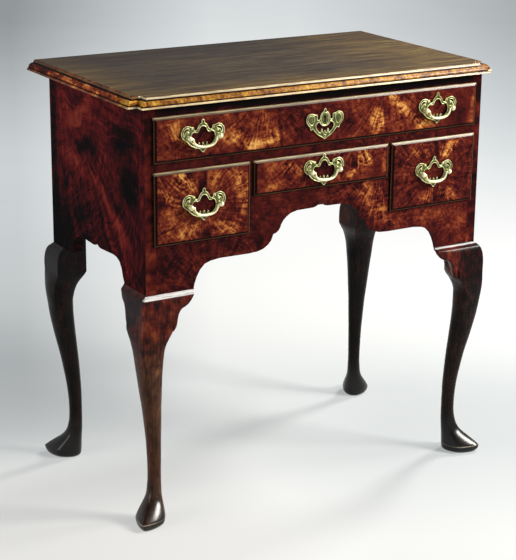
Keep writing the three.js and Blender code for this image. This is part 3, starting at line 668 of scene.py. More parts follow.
def brass_cast():
    """Pale brass, greener and darker on the ground of a plate behind its rims, as patina and painted
    shade, and paler on rims and proud parts, as rubbed brass and painted highlights.
    """
    paint = Paint("brass")
    place = paint.place()
    cloud = paint.noise(place, 0.16, 3, 0.6)
    y = paint.parts(place)[1]
    raised = y.span(PLATE_FACE - 0.02, PLATE_FACE - 0.5)
    proud = y.span(PLATE_FACE - 2.0, PLATE_FACE - 4.0)
    # Painted light and shade: the ground is darker, as patina and as painted shade in the hollows; the
    # rims and proud parts paler, as rubbed brass and as painted highlights.
    rubbed_and_highlit = paint.ramp(cloud, (0.25, (214, 206, 146)), (0.5, (240, 235, 186)), (0.75, (252, 249, 218)))
    rim = paint.ramp(cloud, (0.25, (128, 126, 70)), (0.45, (182, 180, 118)), (0.7, (246, 243, 204)))
    ground = paint.ramp(cloud, (0.25, (38, 40, 19)), (0.5, (84, 90, 46)), (0.75, (140, 146, 86)))
    colour = paint.mix(proud, paint.mix(raised, ground, rim), rubbed_and_highlit)
    rough = paint.noise(place, 0.3).span(0.3, 0.7, 0.3, 0.44) + raised * 0.04
    return paint.surface(colour, rough, paint.bump(cloud, 0.3, 0.5), metal=0.62, specular=0.5)


def iron_plate():
    """Dark iron with spots of rust."""
    paint = Paint("iron")
    place = paint.place()
    rust = paint.noise(place, 0.12, 4, 0.65).span(0.45, 0.65)
    colour = paint.mix(rust, (66, 63, 60), (82, 50, 34))
    normal = paint.bump(paint.noise(place, 0.8), 0.1, 0.5)
    return paint.surface(colour, rust.span(0.0, 1.0, 0.42, 0.7), normal, metal=0.8, specular=0.5)


DRAWER_FRONTS = ("top", "left", "centre", "right")


def front_edges(name):
    """The left, right, lower, upper and back limits of a drawer's front, or none for the carcase."""
    if name not in DRAWER_FRONTS:
        return None
    low, high = node_box(f"drawer_{name}_front")
    return low[0], high[0], low[2], high[2], high[1]


FIGURED = {name: walnut_figure(f"walnut_{name}", edges=front_edges(name), **layout)
           for name, layout in FIGURES.items()}
SLOT_LOOKS = {
    "walnut_top": walnut_top(), "walnut_edge": walnut_edge(), "walnut_front": FIGURED["carcase"],
    "walnut_side": walnut_side(), "walnut_leg": walnut_leg(), "brass": brass_cast(),
    "iron": iron_plate(), "oak": oak_board("oak", (0.1, 0.006, 0.14), (0.9, 0.04, 1.2)),
}
OAK_ACROSS = oak_board("oak_across", (0.006, 0.14, 0.12), (0.04, 1.2, 0.9))
ACROSS_NODES = ("_back", "back_panel")


def dress_nodes():
    """Gives the nodes the looks of their slots."""
    slots = {part["node"]: part["material_slot"] for part in frame["record"]["subparts"]}
    for name, node in frame["nodes"].items():
        across = slots[name] == "oak" and name.endswith(ACROSS_NODES)
        node.data.materials.clear()
        node.data.materials.append(OAK_ACROSS if across else SLOT_LOOKS[slots[name]])
        node["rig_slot"] = slots[name]


dress_nodes()


# Geometry helpers
SIDES = (("left", -1), ("right", 1))
SHARP = 30.0
LEG_SHARP = 38.0
BRASS_SHARP = 40.0
BACK_SHARP = 35.0
# Points nearer to the middle line than this lie on it
ON_MIDDLE = 1e-6


def curve_through(rows, x):
    """A smooth curve through rows of [x, values], taken at x, that never swings past the rows."""
    xs, ys = np.array(rows)[:, 0], np.array(rows)[:, 1:]
    run = np.diff(xs)[:, None]
    rise = np.diff(ys, axis=0) / run
    product, total = rise[:-1] * rise[1:], rise[:-1] + rise[1:]
    slope = np.zeros_like(ys)
    slope[1:-1] = np.where(product > 0, 2 * product / np.where(np.abs(total) > 0, total, 1), 0)
    slope[0], slope[-1] = rise[0], rise[-1]
    x = np.clip(x, xs[0], xs[-1])
    i = np.clip(np.searchsorted(xs, x, side="right") - 1, 0, len(xs) - 2)
    h = run[i]
    t = (x - xs[i])[..., None] / h
    return ((1 + 2 * t) * (1 - t) ** 2 * ys[i] + t * (1 - t) ** 2 * h * slope[i]
            + t * t * (3 - 2 * t) * ys[i + 1] + t * t * (t - 1) * h * slope[i + 1])


def angles(count):
    """Equal steps round a circle."""
    return np.linspace(0, 2 * math.pi, count, endpoint=False)


def arc(middle, radii, start, end, steps):
    """Points on part of an ellipse, the angles in degrees."""
    return [(middle[0] + radii[0] * math.cos(a), middle[1] + radii[1] * math.sin(a))
            for a in (math.radians(degrees) for degrees in np.linspace(start, end, steps))]


def mirrored(ring):
    return [(-x, z) for x, z in ring]


def whole(half):
    """The whole of a symmetrical outline from its right half, middle line to middle line."""
    return list(half) + mirrored(point for point in reversed(half) if abs(point[0]) > ON_MIDDLE)


def grid_faces(rows, columns):
    """Quads over rows of points, each row closed to a ring."""
    return [(r * columns + c, r * columns + (c + 1) % columns,
             (r + 1) * columns + (c + 1) % columns, (r + 1) * columns + c)
            for r in range(rows - 1) for c in range(columns)]


def lofted(rings):
    """Points and faces of a closed skin over rings of equal length, with flat caps."""
    count = len(rings[0])
    end = (len(rings) - 1) * count
    caps = [tuple(range(count))[::-1], tuple(range(end, end + count))]
    return [tuple(point) for ring in rings for point in ring], grid_faces(len(rings), count) + caps


def slab(x0, x1, z0, z1, steps):
    """A block over a rectangle, drawn in from its edges by the first number of each step (inset, Y)."""
    return lofted([[(x0 + inset, y, z0 + inset), (x1 - inset, y, z0 + inset),
                    (x1 - inset, y, z1 - inset), (x0 + inset, y, z1 - inset)] for inset, y in steps])


def turned(profile, x, y, z, sides, way=-1):
    """A turned shape from a profile of (radius, height), its axis to the front from (x, y, z)."""
    return lofted([[(x + r * math.cos(a), y + way * out, z + r * math.sin(a)) for a in angles(sides)]
                   for r, out in profile])


def raw_mesh(name, points, faces):
    """A mesh from points in carcase millimetres."""
    mesh = bpy.data.meshes.new(name)
    mesh.from_pydata([placed(*point) for point in points], [], faces)
    return mesh


def evaluated(shape):
    """The mesh that an object's curves or modifiers make."""
    bpy.context.view_layer.update()
    return bpy.data.meshes.new_from_object(shape.evaluated_get(bpy.context.evaluated_depsgraph_get()))


def make_piece(name, shapes, body, slot, replaces=(), sharp=SHARP, look=None):
    """One piece of several shapes, meshes or (points, faces), with edges kept above an angle."""
    work = bmesh.new()
    for shape in shapes:
        mesh = shape if isinstance(shape, bpy.types.Mesh) else raw_mesh("shape", *shape)
        work.from_mesh(mesh)
        bpy.data.meshes.remove(mesh)
    bmesh.ops.recalc_face_normals(work, faces=work.faces)
    if work.calc_volume(signed=True) < 0:
        bmesh.ops.reverse_faces(work, faces=work.faces)
    mesh = bpy.data.meshes.new(name)
    work.to_mesh(mesh)
    work.free()
    mesh.shade_smooth()
    mesh.set_sharp_from_angle(angle=math.radians(sharp))
    mesh.materials.append(look or SLOT_LOOKS[slot])
    piece = show(name, mesh)
    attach(piece, body)
    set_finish(piece, slot)
    if replaces:
        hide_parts(*replaces)
    return piece


# Cabriole legs
LEG_SIDES = 72
LEG_STEP = 3.2
LEG_POST = 42.0
DIAGONAL = math.sqrt(0.5)
POST_CORNER = 18.3
FRONT_CORNER_CUT = 9.6
# Drops below the shoulder between which the inner corner's cut grows to its full size
CORNER_CUT_DROPS = (8, 30)
POST_TOP = node_box("leg_front_left")[1][2]
SOLE_HEIGHTS = [0.0, 0.5, 1.2, 2.5, 4.5, 6.5]
# The shoulder's rings start this far above the rows of the knee
SHOULDER_CLEAR = 1
SHOULDER_DROPS = (40, 34, 28, 22, 18, 15, 12, 9.8, 8.2, 7.4, 7.0, 6.6, 5.2, 3.6, 1.8, 0.8, 0.4, 0)
# Each row: height, outward and inward reach along the diagonal from the carcase corner, half width
# across it, roundness of the outward and of the inward half (1 is straight, 2 is an ellipse).
LEG_ROWS = [
    [0.0, 19.5, -36.5, 18.0, 1.5, 2.0], [1.5, 22.0, -39.0, 20.3, 1.42, 2.0],
    [4.0, 24.5, -40.6, 23.0, 1.36, 2.0], [8.0, 26.6, -41.2, 24.3, 1.3, 2.0],
    [12.0, 27.6, -41.5, 24.8, 1.26, 2.0], [12.9, 27.3, -41.6, 24.7, 1.26, 2.0],
    [14.2, 25.4, -41.7, 24.3, 1.26, 2.0], [17.0, 22.4, -41.8, 23.7, 1.26, 2.0],
    [22.0, 15.8, -42.0, 22.0, 1.28, 2.0], [30.0, 4.4, -42.3, 18.9, 1.34, 2.0],
    [38.0, -6.6, -42.9, 15.6, 1.42, 2.0], [45.0, -12.6, -43.5, 13.5, 1.54, 2.0],
    [52.0, -16.4, -43.9, 12.5, 1.7, 2.0], [60.0, -18.7, -44.2, 12.0, 1.85, 2.0],
    [70.0, -20.8, -44.4, 11.4, 1.95, 2.0], [85.0, -21.6, -44.5, 11.2, 2.0, 2.0],
    [101.0, -21.3, -44.4, 11.5, 2.0, 2.0], [120.0, -19.9, -44.2, 12.0, 2.0, 2.0],
    [140.0, -17.3, -43.4, 12.6, 1.95, 2.0], [160.0, -13.7, -42.1, 13.7, 1.9, 2.0],
    [180.0, -9.8, -40.7, 14.9, 1.85, 1.95], [200.0, -5.1, -38.8, 16.1, 1.8, 1.9],
    [220.0, 0.3, -36.9, 18.0, 1.7, 1.85], [240.0, 5.2, -35.0, 19.8, 1.6, 1.8],
    [260.0, 9.8, -33.4, 21.6, 1.5, 1.75], [275.0, 12.5, -32.6, 23.2, 1.42, 1.7],
    [290.0, 14.8, -32.5, 25.0, 1.3, 1.6],
]
FRONT_KNEE_ROWS = [
    [305.0, 17.0, -32.5, 27.2, 1.22, 1.5], [314.0, 18.0, -34.5, 29.6, 1.18, 1.4],
    [322.0, 18.5, -38.5, 32.8, 1.14, 1.25], [329.0, 18.6, -43.0, 36.0, 1.1, 1.16],
    [334.0, 18.5, -47.0, 38.2, 1.07, 1.2], [340.0, 18.3, -50.0, 38.9, 1.04, 1.25],
]
BACK_KNEE_ROWS = [
    [305.0, 17.0, -35.0, 26.5, 1.35, 1.5], [320.0, 18.4, -40.0, 29.2, 1.25, 1.35],
    [330.0, 18.5, -46.0, 31.6, 1.2, 1.25], [340.0, 18.3, -54.0, 35.6, 1.1, 1.12],
    [348.0, 17.9, -59.4, 38.6, 1.0, 1.0],
]
# Reach of the square part of the knee out from the carcase, down from its shoulder
SHOULDER_ROWS = [
    [0.0, 0.2], [0.5, 0.6], [3.6, 3.7], [6.6, 6.7], [7.2, 7.2], [8.2, 7.9], [12.0, 9.6], [18.0, 11.4],
    [26.0, 12.5], [36.0, 13.0], [46.0, 13.0], [56.0, 12.9],
]


def knee_reach(z):
    """How far the square part of the knee stands out from the carcase at a height."""
    return float(curve_through(SHOULDER_ROWS, LEG_TOP - z)[0])


def leg_section(outer, inner, half, round_out, round_in):
    """The points of a section in the carcase's own corner: U outward on the diagonal, V across it."""
    middle = (outer + inner) / 2
    reach = (outer - inner) / 2
    ring = []
    for angle in angles(LEG_SIDES):
        c, s = math.cos(angle), math.sin(angle)
        power = 2 / (round_out if c > 0 else round_in)
        u = middle + reach * math.copysign(abs(c) ** power, c)
        v = half * math.copysign(abs(s) ** power, s)
        ring.append(((u - v) * DIAGONAL, (u + v) * DIAGONAL))
    return ring


def square_section(outer):
    """A square section from the post's inner corner to a reach outward."""
    outer, inner = outer / DIAGONAL, -LEG_POST / DIAGONAL
    return leg_section(outer, inner, (outer - inner) / 2, 1, 1)


def chamfered(ring, limit):
    """A section whose inner corner is cut off square to the diagonal."""
    cuts = [max(0.0, -limit - (x + y) * DIAGONAL) * DIAGONAL for x, y in ring]
    return [(x + cut, y + cut) for cut, (x, y) in zip(cuts, ring)]


def leg_rings(knee_rows, corner_cut):
    """Rings of a leg from its sole to the top of its post."""
    rows = LEG_ROWS + knee_rows
    top = rows[-1][0]
    heights = list(SOLE_HEIGHTS)
    while heights[-1] < top:
        heights.append(min(heights[-1] + LEG_STEP, top))
    rings = [[(x, y, z) for x, y in leg_section(*values)]
             for z, values in zip(heights, curve_through(rows, heights))]
    corner = LEG_POST / DIAGONAL
    for drop in (d for d in SHOULDER_DROPS if LEG_TOP - d > top + SHOULDER_CLEAR):
        z = LEG_TOP - drop
        limit = np.interp(drop, CORNER_CUT_DROPS, (corner, corner - corner_cut))
        rings.append([(x, y, z) for x, y in chamfered(square_section(knee_reach(z)), float(limit))])
    for z in (LEG_TOP, POST_TOP):
        rings.append([(x, y, z) for x, y in square_section(-POST_CORNER)])
    return rings


def make_legs():
    for end, y_side, knee_rows, corner_cut in (("front", -1, FRONT_KNEE_ROWS, FRONT_CORNER_CUT),
                                               ("back", 1, BACK_KNEE_ROWS, 0.0)):
        for side_name, side in SIDES:
            rings = [[(side * (HALF_WIDTH + x), y_side * (HALF_DEPTH + y), z) for x, y, z in ring]
                     for ring in leg_rings(knee_rows, corner_cut)]
            make_piece(f"cabriole_leg_{end}_{side_name}", [lofted(rings)], "carcase", "walnut_leg",
                       [f"leg_{end}_{side_name}"], sharp=LEG_SHARP)


# Knee blocks, shaped to carry on the face of the knee and die away to a tip
BLOCK_START = LEG_POST + 0.25
BLOCK_BACK = 20.0
BLOCK_REACHES = (("front", 43.2), ("side", 34.7))
# Lower edge of a block: [share of its reach from the tip to the leg, drop below the carcase]
BLOCK_EDGE = [
    [0.0, 1.5], [0.012, 4.0], [0.04, 7.0], [0.09, 11.5], [0.16, 15.7], [0.25, 19.8], [0.35, 23.0],
    [0.46, 25.3], [0.57, 27.0], [0.65, 29.0], [0.71, 31.8], [0.77, 36.0], [0.81, 41.0], [0.835, 48.0],
    [0.86, 54.0], [0.9, 58.5], [0.95, 61.5], [1.0, 64.0],
]
BLOCK_SHARES = [*np.linspace(0, 0.08, 5), *np.linspace(0.12, 1, 30)]
BLOCK_STEPS = 26
BLOCK_FADE = 2.2
BLOCK_ROUND = 5.0
BLOCK_ROUND_DEPTH = 0.9
BLOCK_BEVEL = 20.0
BLOCK_BEVEL_RISE = BLOCK_BEVEL / 3
BLOCK_LAND = 3.0
BLOCK_LEAST = 0.5
BLOCK_TIP_REACH = 7.4


def block_drop(share):
    """How far down a block reaches at a share of its length."""
    return float(curve_through(BLOCK_EDGE, max(0.0, share))[0])


def knee_block(reach):
    """Rings of a block from its tip to the leg: (distance from the leg, reach outward, drop)."""
    rings = []
    for share in BLOCK_SHARES:
        drop = block_drop(share)
        along = (1 - share) * reach
        fade = 1 - (1 - share) ** BLOCK_FADE
        rim = min(BLOCK_ROUND, drop)
        ring = []
        for down in np.linspace(0, 1, BLOCK_STEPS) * drop:
            full = knee_reach(LEG_TOP - down)
            low = min(full, BLOCK_TIP_REACH)
            under = max(0.0, down - (drop - rim)) / rim
            sunk = rim * (1 - math.sqrt(max(0.0, 1 - under * under))) * BLOCK_ROUND_DEPTH
            ring.append((along, low + (full - low) * fade - sunk, down))
        land = ring[-1][1] - BLOCK_LAND
        back = min(-BLOCK_BACK * min(1.0, share * reach / BLOCK_BEVEL), land - BLOCK_LEAST)
        hidden = max(BLOCK_LEAST, block_drop(share - BLOCK_BEVEL / reach) - BLOCK_BEVEL_RISE)
        rings.append(ring + [(along, land, drop), (along, back, hidden), (along, back, 0.0)])
    return rings


def make_knee_blocks():
    for side_name, side in SIDES:
        for face, reach in BLOCK_REACHES:
            rings = []
            for ring in knee_block(reach):
                if face == "front":
                    plan = [(HALF_WIDTH - BLOCK_START - along, -out, down) for along, out, down in ring]
                else:
                    plan = [(HALF_WIDTH + out, BLOCK_START + along, down) for along, out, down in ring]
                rings.append([(side * x, FRONT_FACE + y, LEG_TOP - down) for x, y, down in plan])
            make_piece(f"knee_block_{side_name}_{face}", [lofted(rings)], "carcase", "walnut_leg",
                       [f"knee_bracket_{side_name}_{face}"], sharp=LEG_SHARP)


# Front arch, from its middle to the knee: [share of half the span, share of the rise]
ARCH_SHARES = [
    (0, 1), (0.015, 0.952), (0.034, 0.925), (0.059, 0.912), (0.189, 0.907), (0.24, 0.881), (0.274, 0.837),
    (0.299, 0.789), (0.318, 0.727), (0.324, 0.687), (0.337, 0.648), (0.354, 0.619), (0.379, 0.604),
    (0.385, 0.568), (0.396, 0.515), (0.421, 0.458), (0.457, 0.41), (0.505, 0.383), (0.573, 0.374),
    (0.8, 0.377), (0.872, 0.359), (0.916, 0.326), (0.952, 0.251), (0.977, 0.154), (0.994, 0.057), (1, 0),
]
# Edge of the arch: [depth from the face, how far it is cut away there], and the cut at the back
ARCH_EDGE = ((0.0, 0.6), (0.6, 0.0), (4.0, 0.0))
ARCH_BEVEL = 12.0
ARCH_HALF_SPAN = 237.5
ARCH_RISE = 113.5
# How fast the bevel's own rise grows from the foot of the arch
ARCH_CUT_GROWTH = 12
APRON_STEP_HALF = 125.5
APRON_STEP_RISE = 82.0


def make_apron():
    """The front apron, its sawn edge bevelled away behind."""
    low, high = node_box("front_apron")
    rings = []
    for y, cut in [(low[1] + depth, cut) for depth, cut in ARCH_EDGE] + [(high[1], ARCH_BEVEL)]:
        half = [(along * (ARCH_HALF_SPAN + cut),
                 low[2] + up * ARCH_RISE + cut * min(1, up * ARCH_CUT_GROWTH))
                for along, up in ARCH_SHARES]
        half += [(high[0], low[2]), (high[0], low[2] + APRON_STEP_RISE),
                 (APRON_STEP_HALF, low[2] + APRON_STEP_RISE), (APRON_STEP_HALF, high[2])]
        rings.append([(x, y, z) for x, z in whole(half)])
    make_piece("arched_apron", [lofted(rings)], "carcase", "walnut_front", ["front_apron"])


# Moulded edge of the top, in three mitred lengths
EDGE_WIDTH = 17.0
CORNER_NOTCH = 16.0
TOP_THICKNESS = TOP_HIGH[2] - TOP_LOW[2]
TOP_HALF_WIDTH = node_box("top_moulding_right")[1][0]
TOP_FRONT = node_box("top_moulding_front")[0][1]
TOP_BACK = TOP_HIGH[1]
# Profile of the edge as (in from the outermost lip, down from the upper surface)
EDGE_PROFILE = (
    [(EDGE_WIDTH, 0.0), (15.4, 0.0), (14.7, 0.15), (14.2, 0.5), (12.7, 3.4), (12.4, 4.0)]
    + [(11.9, 4.5), (11.2, 4.7)] + arc((11.2, 12.1), (8.0, 7.4), 270, 180, 12)[1:]
    + [(3.2, 12.4), (2.2, 12.6), (1.6, 12.9), (0.3, 15.4), (0.0, 15.9), (0.3, 16.3), (1.2, 16.3)]
    + [(2.2, TOP_THICKNESS)]
)


def front_edge_plan(inset):
    x = TOP_HALF_WIDTH - CORNER_NOTCH
    right = [(x - EDGE_WIDTH, TOP_FRONT + EDGE_WIDTH),
             (x - EDGE_WIDTH, TOP_FRONT + EDGE_WIDTH + CORNER_NOTCH),
             (x - inset, TOP_FRONT + inset + CORNER_NOTCH), (x - inset, TOP_FRONT + inset)]
    return right + mirrored(reversed(right))


def side_edge_plan(inset):
    """The plan of the right length at an inset."""
    front = TOP_FRONT + CORNER_NOTCH + SEAM
    half = TOP_HALF_WIDTH
    return [(half - CORNER_NOTCH - EDGE_WIDTH, front + EDGE_WIDTH),
            (half - CORNER_NOTCH - inset, front + inset), (half - inset, front + inset),
            (half - inset, TOP_BACK), (half - EDGE_WIDTH, TOP_BACK),
            (half - EDGE_WIDTH, front + EDGE_WIDTH)]


def make_top_edge():
    for name, plan, side in (("front", front_edge_plan, 1), ("left", side_edge_plan, -1),
                             ("right", side_edge_plan, 1)):
        rings = [[(side * x, y, TOP_HIGH[2] - down) for x, y in plan(min(inset, EDGE_WIDTH - SEAM))]
                 for inset, down in EDGE_PROFILE]
        make_piece(f"edge_moulding_{name}", [lofted(rings)], "carcase", "walnut_edge",
                   [f"top_moulding_{name}"])


# Drawer fronts with moulded lips
KEYHOLE_LIFT = 5.6
KEYHOLE_CUT = (FRONT_FACE - 20, FRONT_FACE + 40)
# A round hole with a slot below it
KEYHOLE = arc((0, 3.0), (2.6, 2.6), -65, 245, 24) + [(-1.1, -6.0), (1.1, -6.0)]
# Profile of the lip as (in from its edge, proud of the carcase)
LIP_PROFILE = [(0.25, 0.4), (0.0, 0.7), (0.0, 1.7), (0.1, 2.3), (0.4, 2.8), (0.9, 3.2), (2.6, 4.1),
               (4.3, 4.9), (4.8, 5.1), (5.0, 5.5), (5.4, 6.0), (7.0, LIP_PROUD)]


def cut_keyhole(front, z):
    """Cuts a keyhole through a drawer's front, at a height."""
    rings = [[(px, y, z + pz) for px, pz in KEYHOLE] for y in KEYHOLE_CUT]
    cutter = show("keyhole", raw_mesh("keyhole", *lofted(rings)))
    cut = front.modifiers.new("cut", "BOOLEAN")
    cut.operation = "DIFFERENCE"
    cut.object = cutter
    cut.solver = "EXACT"
    mesh = evaluated(front)
    front.modifiers.clear()
    front.data = mesh
    bpy.data.objects.remove(cutter)
    mesh.set_sharp_from_angle(angle=math.radians(SHARP))


def make_drawer_fronts():
    for name in DRAWER_FRONTS:
        x0, x1, z0, z1, back = front_edges(name)
        steps = [(LIP_OVERLAP + LIP_CLEAR, back), (LIP_OVERLAP + LIP_CLEAR, FRONT_FACE - SEAM),
                 (LIP_PROFILE[0][0], FRONT_FACE - SEAM)]
        steps += [(inset, FRONT_FACE - proud) for inset, proud in LIP_PROFILE]
        front = make_piece(f"front_{name}", [slab(x0, x1, z0, z1, steps)], f"drawer_{name}",
                           "walnut_front", [f"drawer_{name}_front"], look=FIGURED[name])
        if name == "top":
            cut_keyhole(front, (z0 + z1) / 2 + KEYHOLE_LIFT)


# Brass
POST_SPAN = 54.0
PIVOT_Y = PLATE_BACK - 9.0
# Outlines of the plate, right half in millimetres from its middle, from the bud to the pendant
PLATE_OUTLINE = [
    (0, 27.5), (1.5, 26.4), (2.4, 24.6), (2.2, 22.9), (1.8, 21.8), (4.0, 20.6), (6.4, 18.4), (8.2, 15.4),
    (9.4, 12.4), (11.0, 10.4), (13.4, 9.5), (15.6, 9.9), (16.7, 11.8), (16.5, 13.9), (17.9, 15.6),
    (20.4, 15.7), (23.0, 16.7), (26.4, 17.8), (30.4, 17.4), (34.0, 15.2), (36.8, 11.4), (38.0, 6.8),
    (37.6, 2.2), (35.4, -2.0), (32.2, -4.8), (29.0, -6.8), (26.8, -9.2), (24.6, -12.0), (21.2, -15.0),
    (17.0, -17.6), (12.4, -19.6), (8.0, -20.9), (5.6, -21.8), (4.0, -23.4), (2.4, -25.6), (0.9, -27.2),
    (0, -27.5),
]
PLATE_HOLE = [
    (0, 16.6), (3.0, 16.0), (5.4, 14.0), (6.9, 11.0), (8.2, 8.2), (10.2, 6.5), (13.0, 6.3), (15.8, 7.0),
    (18.2, 6.6), (20.2, 4.2), (21.4, 0.6), (21.8, -3.4), (21.0, -7.4), (18.8, -11.2), (15.4, -14.6),
    (11.8, -16.6), (9.2, -17.0), (8.0, -13.8), (7.0, -11.2), (6.1, -13.8), (4.8, -17.4), (2.5, -17.9),
    (1.1, -14.2), (0, -11.2),
]
PLATE_TALL = 0.94
PLATE_RISE = 1.6
PLATE_CRESCENT = [
    (24.4, 13.2), (27.6, 14.4), (30.8, 13.4), (33.3, 10.8), (34.6, 7.2), (34.3, 3.4), (32.9, 1.2),
    (32.2, 4.2), (31.2, 6.8), (29.2, 8.8), (26.8, 9.8), (25.0, 11.0),
]
SHIELD_OUTLINE = [
    (0, 22.4), (1.2, 21.4), (2.0, 19.6), (2.4, 17.6), (5.2, 16.2), (7.6, 13.0), (8.9, 9.0), (9.4, 5.8),
    (10.8, 4.0), (13.2, 3.6), (14.9, 5.2), (15.3, 8.0), (14.7, 10.4), (15.5, 12.6), (17.5, 13.5),
    (19.5, 12.9), (22.0, 14.4), (25.4, 15.4), (29.2, 15.0), (32.6, 12.9), (34.7, 9.4), (35.2, 5.2),
    (34.2, 1.4), (32.0, -2.0), (29.4, -4.6), (27.8, -6.8), (27.6, -9.6), (25.9, -10.6), (24.2, -9.2),
    (22.0, -10.0), (19.4, -13.2), (15.8, -17.2), (11.6, -20.6), (7.4, -22.9), (3.8, -25.0), (1.4, -26.7),
    (0, -27.4),
]
SHIELD_HOLE = [
    (0, -6.0), (4.2, -5.2), (7.8, -2.6), (9.6, 0.8), (11.4, 1.0), (14.2, 0.0), (16.8, -2.6), (17.6, -5.8),
    (16.2, -9.8), (13.2, -13.6), (10.0, -16.6), (8.0, -17.4), (7.0, -14.0), (5.9, -10.8), (4.8, -13.6),
    (3.9, -17.0), (2.3, -17.8), (1.0, -15.2), (0, -13.4),
]
SHIELD_NOTCH = [(0, -20.2), (2.1, -21.2), (1.3, -23.2), (0, -24.6)]
SHIELD_EGG = [
    (0, 15.6), (3.9, 14.4), (6.2, 11.2), (7.2, 7.0), (7.0, 2.6), (5.4, -1.6), (2.8, -4.0), (0, -4.7),
]
SHIELD_LOBE = [
    (20.0, 9.0), (22.4, 11.6), (25.8, 12.6), (29.0, 11.8), (31.4, 9.2), (32.2, 5.6), (31.2, 2.0),
    (28.6, -1.2), (25.2, -3.4), (22.8, -2.0), (21.4, 1.2), (19.8, 4.8),
]
RIM_RADIUS = 0.72
BEVEL = 0.42
BEVEL_STEPS = 2
RIM_DEPTH = 0.9
RIM_SIDES = 8
POST_PROFILE = (
    [(4.9, 0.05), (5.0, 0.7), (4.4, 1.3), (3.4, 1.7), (2.7, 2.4), (2.5, 3.6), (2.6, 4.8), (3.1, 5.6)]
    + arc((0, 9.0), (4.4, 4.4), -42, 82, 14)
)
POST_SIDES = 28
BALL_SIDES = 16
BALL_PROFILE = arc((0, 0), (2.0, 1.5), 0, 78, 7)
BALL_PLACES = ((14.6, 9.1), (26.4, 8.4), (19.2, 13.8))
BALL_SUNK = 0.2
# Bail: [across from its middle, below the pivot, radius], from the pin inside a post to its foot
BAIL_PATH = [
    (25.6, 0.0, 1.25), (23.2, 0.0, 1.25), (21.9, -0.3, 1.45), (21.0, -1.6, 1.65), (20.6, -3.7, 1.75),
    (19.8, -6.3, 1.85), (18.0, -9.0, 1.95), (15.2, -11.4, 2.05), (11.4, -13.1, 2.15), (6.2, -14.2, 2.25),
    (0.0, -14.6, 2.3),
]
BAIL_SIDES = 14
HANDLE_BODIES = {"top_left": "drawer_top", "top_right": "drawer_top", "left": "drawer_left",
                 "centre": "drawer_centre", "right": "drawer_right"}


def rounded(line, steps=3, closed=True):
    """A smooth line through points, closed to a ring or open."""
    line = [np.array(point, float) for point in line]
    count = len(line)
    fine = []
    for i in range(count if closed else count - 1):
        near = (i - 1, i, i + 1, i + 2)
        p0, p1, p2, p3 = (line[j % count if closed else min(max(j, 0), count - 1)] for j in near)
        for t in np.arange(steps) / steps:
            fine.append(0.5 * (2 * p1 + (p2 - p0) * t + (2 * p0 - 5 * p1 + 4 * p2 - p3) * t * t
                               + (3 * p1 - p0 - 3 * p2 + p3) * t ** 3))
    return fine if closed else fine + [line[-1]]


def rim(ring, x, z):
    """A raised rim, round in section, along an edge of a plate."""
    ring = [np.array(point) for point in ring]
    points = []
    for i, point in enumerate(ring):
        along = ring[(i + 1) % len(ring)] - ring[i - 1]
        across = np.array([along[1], -along[0]]) / max(np.linalg.norm(along), 1e-9)
        points += [(x + point[0] + across[0] * RIM_RADIUS * math.cos(a),
                    PLATE_FACE - RIM_RADIUS * math.sin(a) * RIM_DEPTH,
                    z + point[1] + across[1] * RIM_RADIUS * math.cos(a)) for a in angles(RIM_SIDES)]
    return points, [tuple(index % len(points) for index in face)
                    for face in grid_faces(len(ring) + 1, RIM_SIDES)]


def pierced_plate(rings, x, z):
    """A pierced plate with softened edges, its back at the drawer's face."""
    curve = bpy.data.curves.new("plate", "CURVE")
    curve.dimensions = "2D"
    curve.fill_mode = "BOTH"
    curve.extrude = (PLATE_THICKNESS / 2 - BEVEL) * MM
    curve.bevel_depth = BEVEL * MM
    curve.bevel_resolution = BEVEL_STEPS
    curve.offset = -BEVEL * MM
    for ring in rings:
        spline = curve.splines.new("POLY")
        spline.points.add(len(ring) - 1)
        for point, (px, pz) in zip(spline.points, ring):
            point.co = (px * MM, pz * MM, 0, 1)
        spline.use_cyclic_u = True
    shape = show("plate", curve)
    mesh = evaluated(shape)
    bpy.data.objects.remove(shape)
    stand = Matrix.Rotation(math.pi / 2, 4, "X")
    mesh.transform(Matrix.Translation(placed(x, PLATE_BACK - PLATE_THICKNESS / 2, z)) @ stand)
    return mesh


def bail(x, z):
    """A bent bail, thickest at its foot, hanging from its pivots."""
    fine = rounded(BAIL_PATH + [(-px, pz, r) for px, pz, r in reversed(BAIL_PATH[:-1])], closed=False)
    rings = []
    for i, (px, pz, radius) in enumerate(fine):
        along = (fine[min(i + 1, len(fine) - 1)] - fine[max(i - 1, 0)])[:2]
        along /= np.linalg.norm(along)
        rings.append([(x + px - along[1] * radius * math.sin(a), PIVOT_Y + radius * math.cos(a),
                       z + pz + along[0] * radius * math.sin(a)) for a in angles(BAIL_SIDES)])
    return lofted(rings)


def node_middle(name):
    """The middle of a node's box in X and Z."""
    low, high = node_box(name)
    return (low[0] + high[0]) / 2, (low[2] + high[2]) / 2


def make_handle(place, body):
    """A backplate with its rims, posts and balls, and the bail that swings in its posts."""
    x, z = node_middle(f"backplate_{place}")
    crescent = rounded(PLATE_CRESCENT, 4)
    rings = [rounded(whole(PLATE_OUTLINE)), rounded(whole(PLATE_HOLE)), crescent, mirrored(crescent)]
    rings = [[(px, pz * PLATE_TALL + PLATE_RISE) for px, pz in ring] for ring in rings]
    shapes = [pierced_plate(rings, x, z)] + [rim(ring, x, z) for ring in rings]
    for _, side in SIDES:
        shapes.append(turned(POST_PROFILE, x + side * POST_SPAN / 2, PLATE_BACK, z, POST_SIDES))
        shapes += [turned(BALL_PROFILE, x + side * px, PLATE_FACE + BALL_SUNK, z + pz, BALL_SIDES)
                   for px, pz in BALL_PLACES]
    make_piece(f"plate_{place}", shapes, body, "brass", [f"backplate_{place}"], sharp=BRASS_SHARP)
    make_piece(f"handle_{place}", [bail(x, z)], f"bail_{place}", "brass", [f"bail_{place}"],
               sharp=BRASS_SHARP)


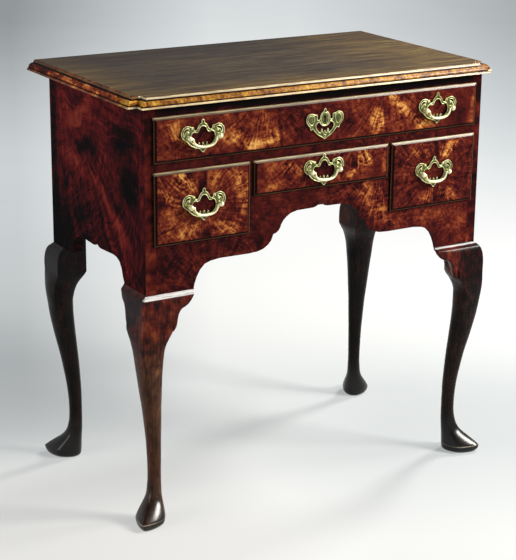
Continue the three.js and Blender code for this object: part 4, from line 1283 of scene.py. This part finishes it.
def make_shield():
    """The escutcheon, pierced by the keyhole."""
    x, z = node_middle("escutcheon")
    outer = [rounded(whole(SHIELD_OUTLINE)), rounded(whole(SHIELD_HOLE)),
             rounded(whole(SHIELD_NOTCH), 4)]
    lobe = rounded(SHIELD_LOBE)
    relief = outer + [rounded(whole(SHIELD_EGG)), lobe, mirrored(lobe)]
    keyhole = [(px, pz + KEYHOLE_LIFT) for px, pz in KEYHOLE]
    shapes = [pierced_plate(outer + [keyhole], x, z)] + [rim(ring, x, z) for ring in relief]
    make_piece("keyhole_shield", shapes, "drawer_top", "brass", ["escutcheon"], sharp=BRASS_SHARP)


# The back, in three boards with eased edges, nailed to the sides
BOARD_SHARES = (0.0, 0.37, 0.69, 1.0)
BOARD_SEAM = 0.1
BOARD_EASE = 1.4
BOARD_EASE_DEPTH = BOARD_EASE * 0.6
NAIL_IN = 7.0
NAIL_SHARES = (0.2, 0.8)
NAIL_SUNK = 0.35
NAIL_SIDES = 10
NAIL_PROFILE = [(3.0, 0.0), (2.9, 0.3), (2.0, 0.7), (0.8, 0.9)]


def make_back():
    low, high = node_box("back_panel")
    back, tall = high[1], high[2] - low[2]
    steps = [(0.0, low[1]), (0.0, back - BOARD_EASE_DEPTH), (BOARD_EASE, back)]
    boards, nails = [], []
    for lower, upper in zip(BOARD_SHARES, BOARD_SHARES[1:]):
        z0, z1 = low[2] + tall * lower + BOARD_SEAM, low[2] + tall * upper - BOARD_SEAM
        boards.append(slab(low[0], high[0], z0, z1, steps))
        nails += [turned(NAIL_PROFILE, x, back - NAIL_SUNK, z0 + (z1 - z0) * share, NAIL_SIDES, way=1)
                  for x in (low[0] + NAIL_IN, high[0] - NAIL_IN) for share in NAIL_SHARES]
    make_piece("back_boards", boards, "carcase", "oak", ["back_panel"], sharp=BACK_SHARP,
               look=OAK_ACROSS)
    make_piece("back_nails", nails, "carcase", "iron", sharp=BRASS_SHARP)


make_legs()
make_knee_blocks()
make_apron()
make_top_edge()
make_drawer_fronts()
for handle_place, handle_body in HANDLE_BODIES.items():
    make_handle(handle_place, handle_body)
make_shield()
make_back()
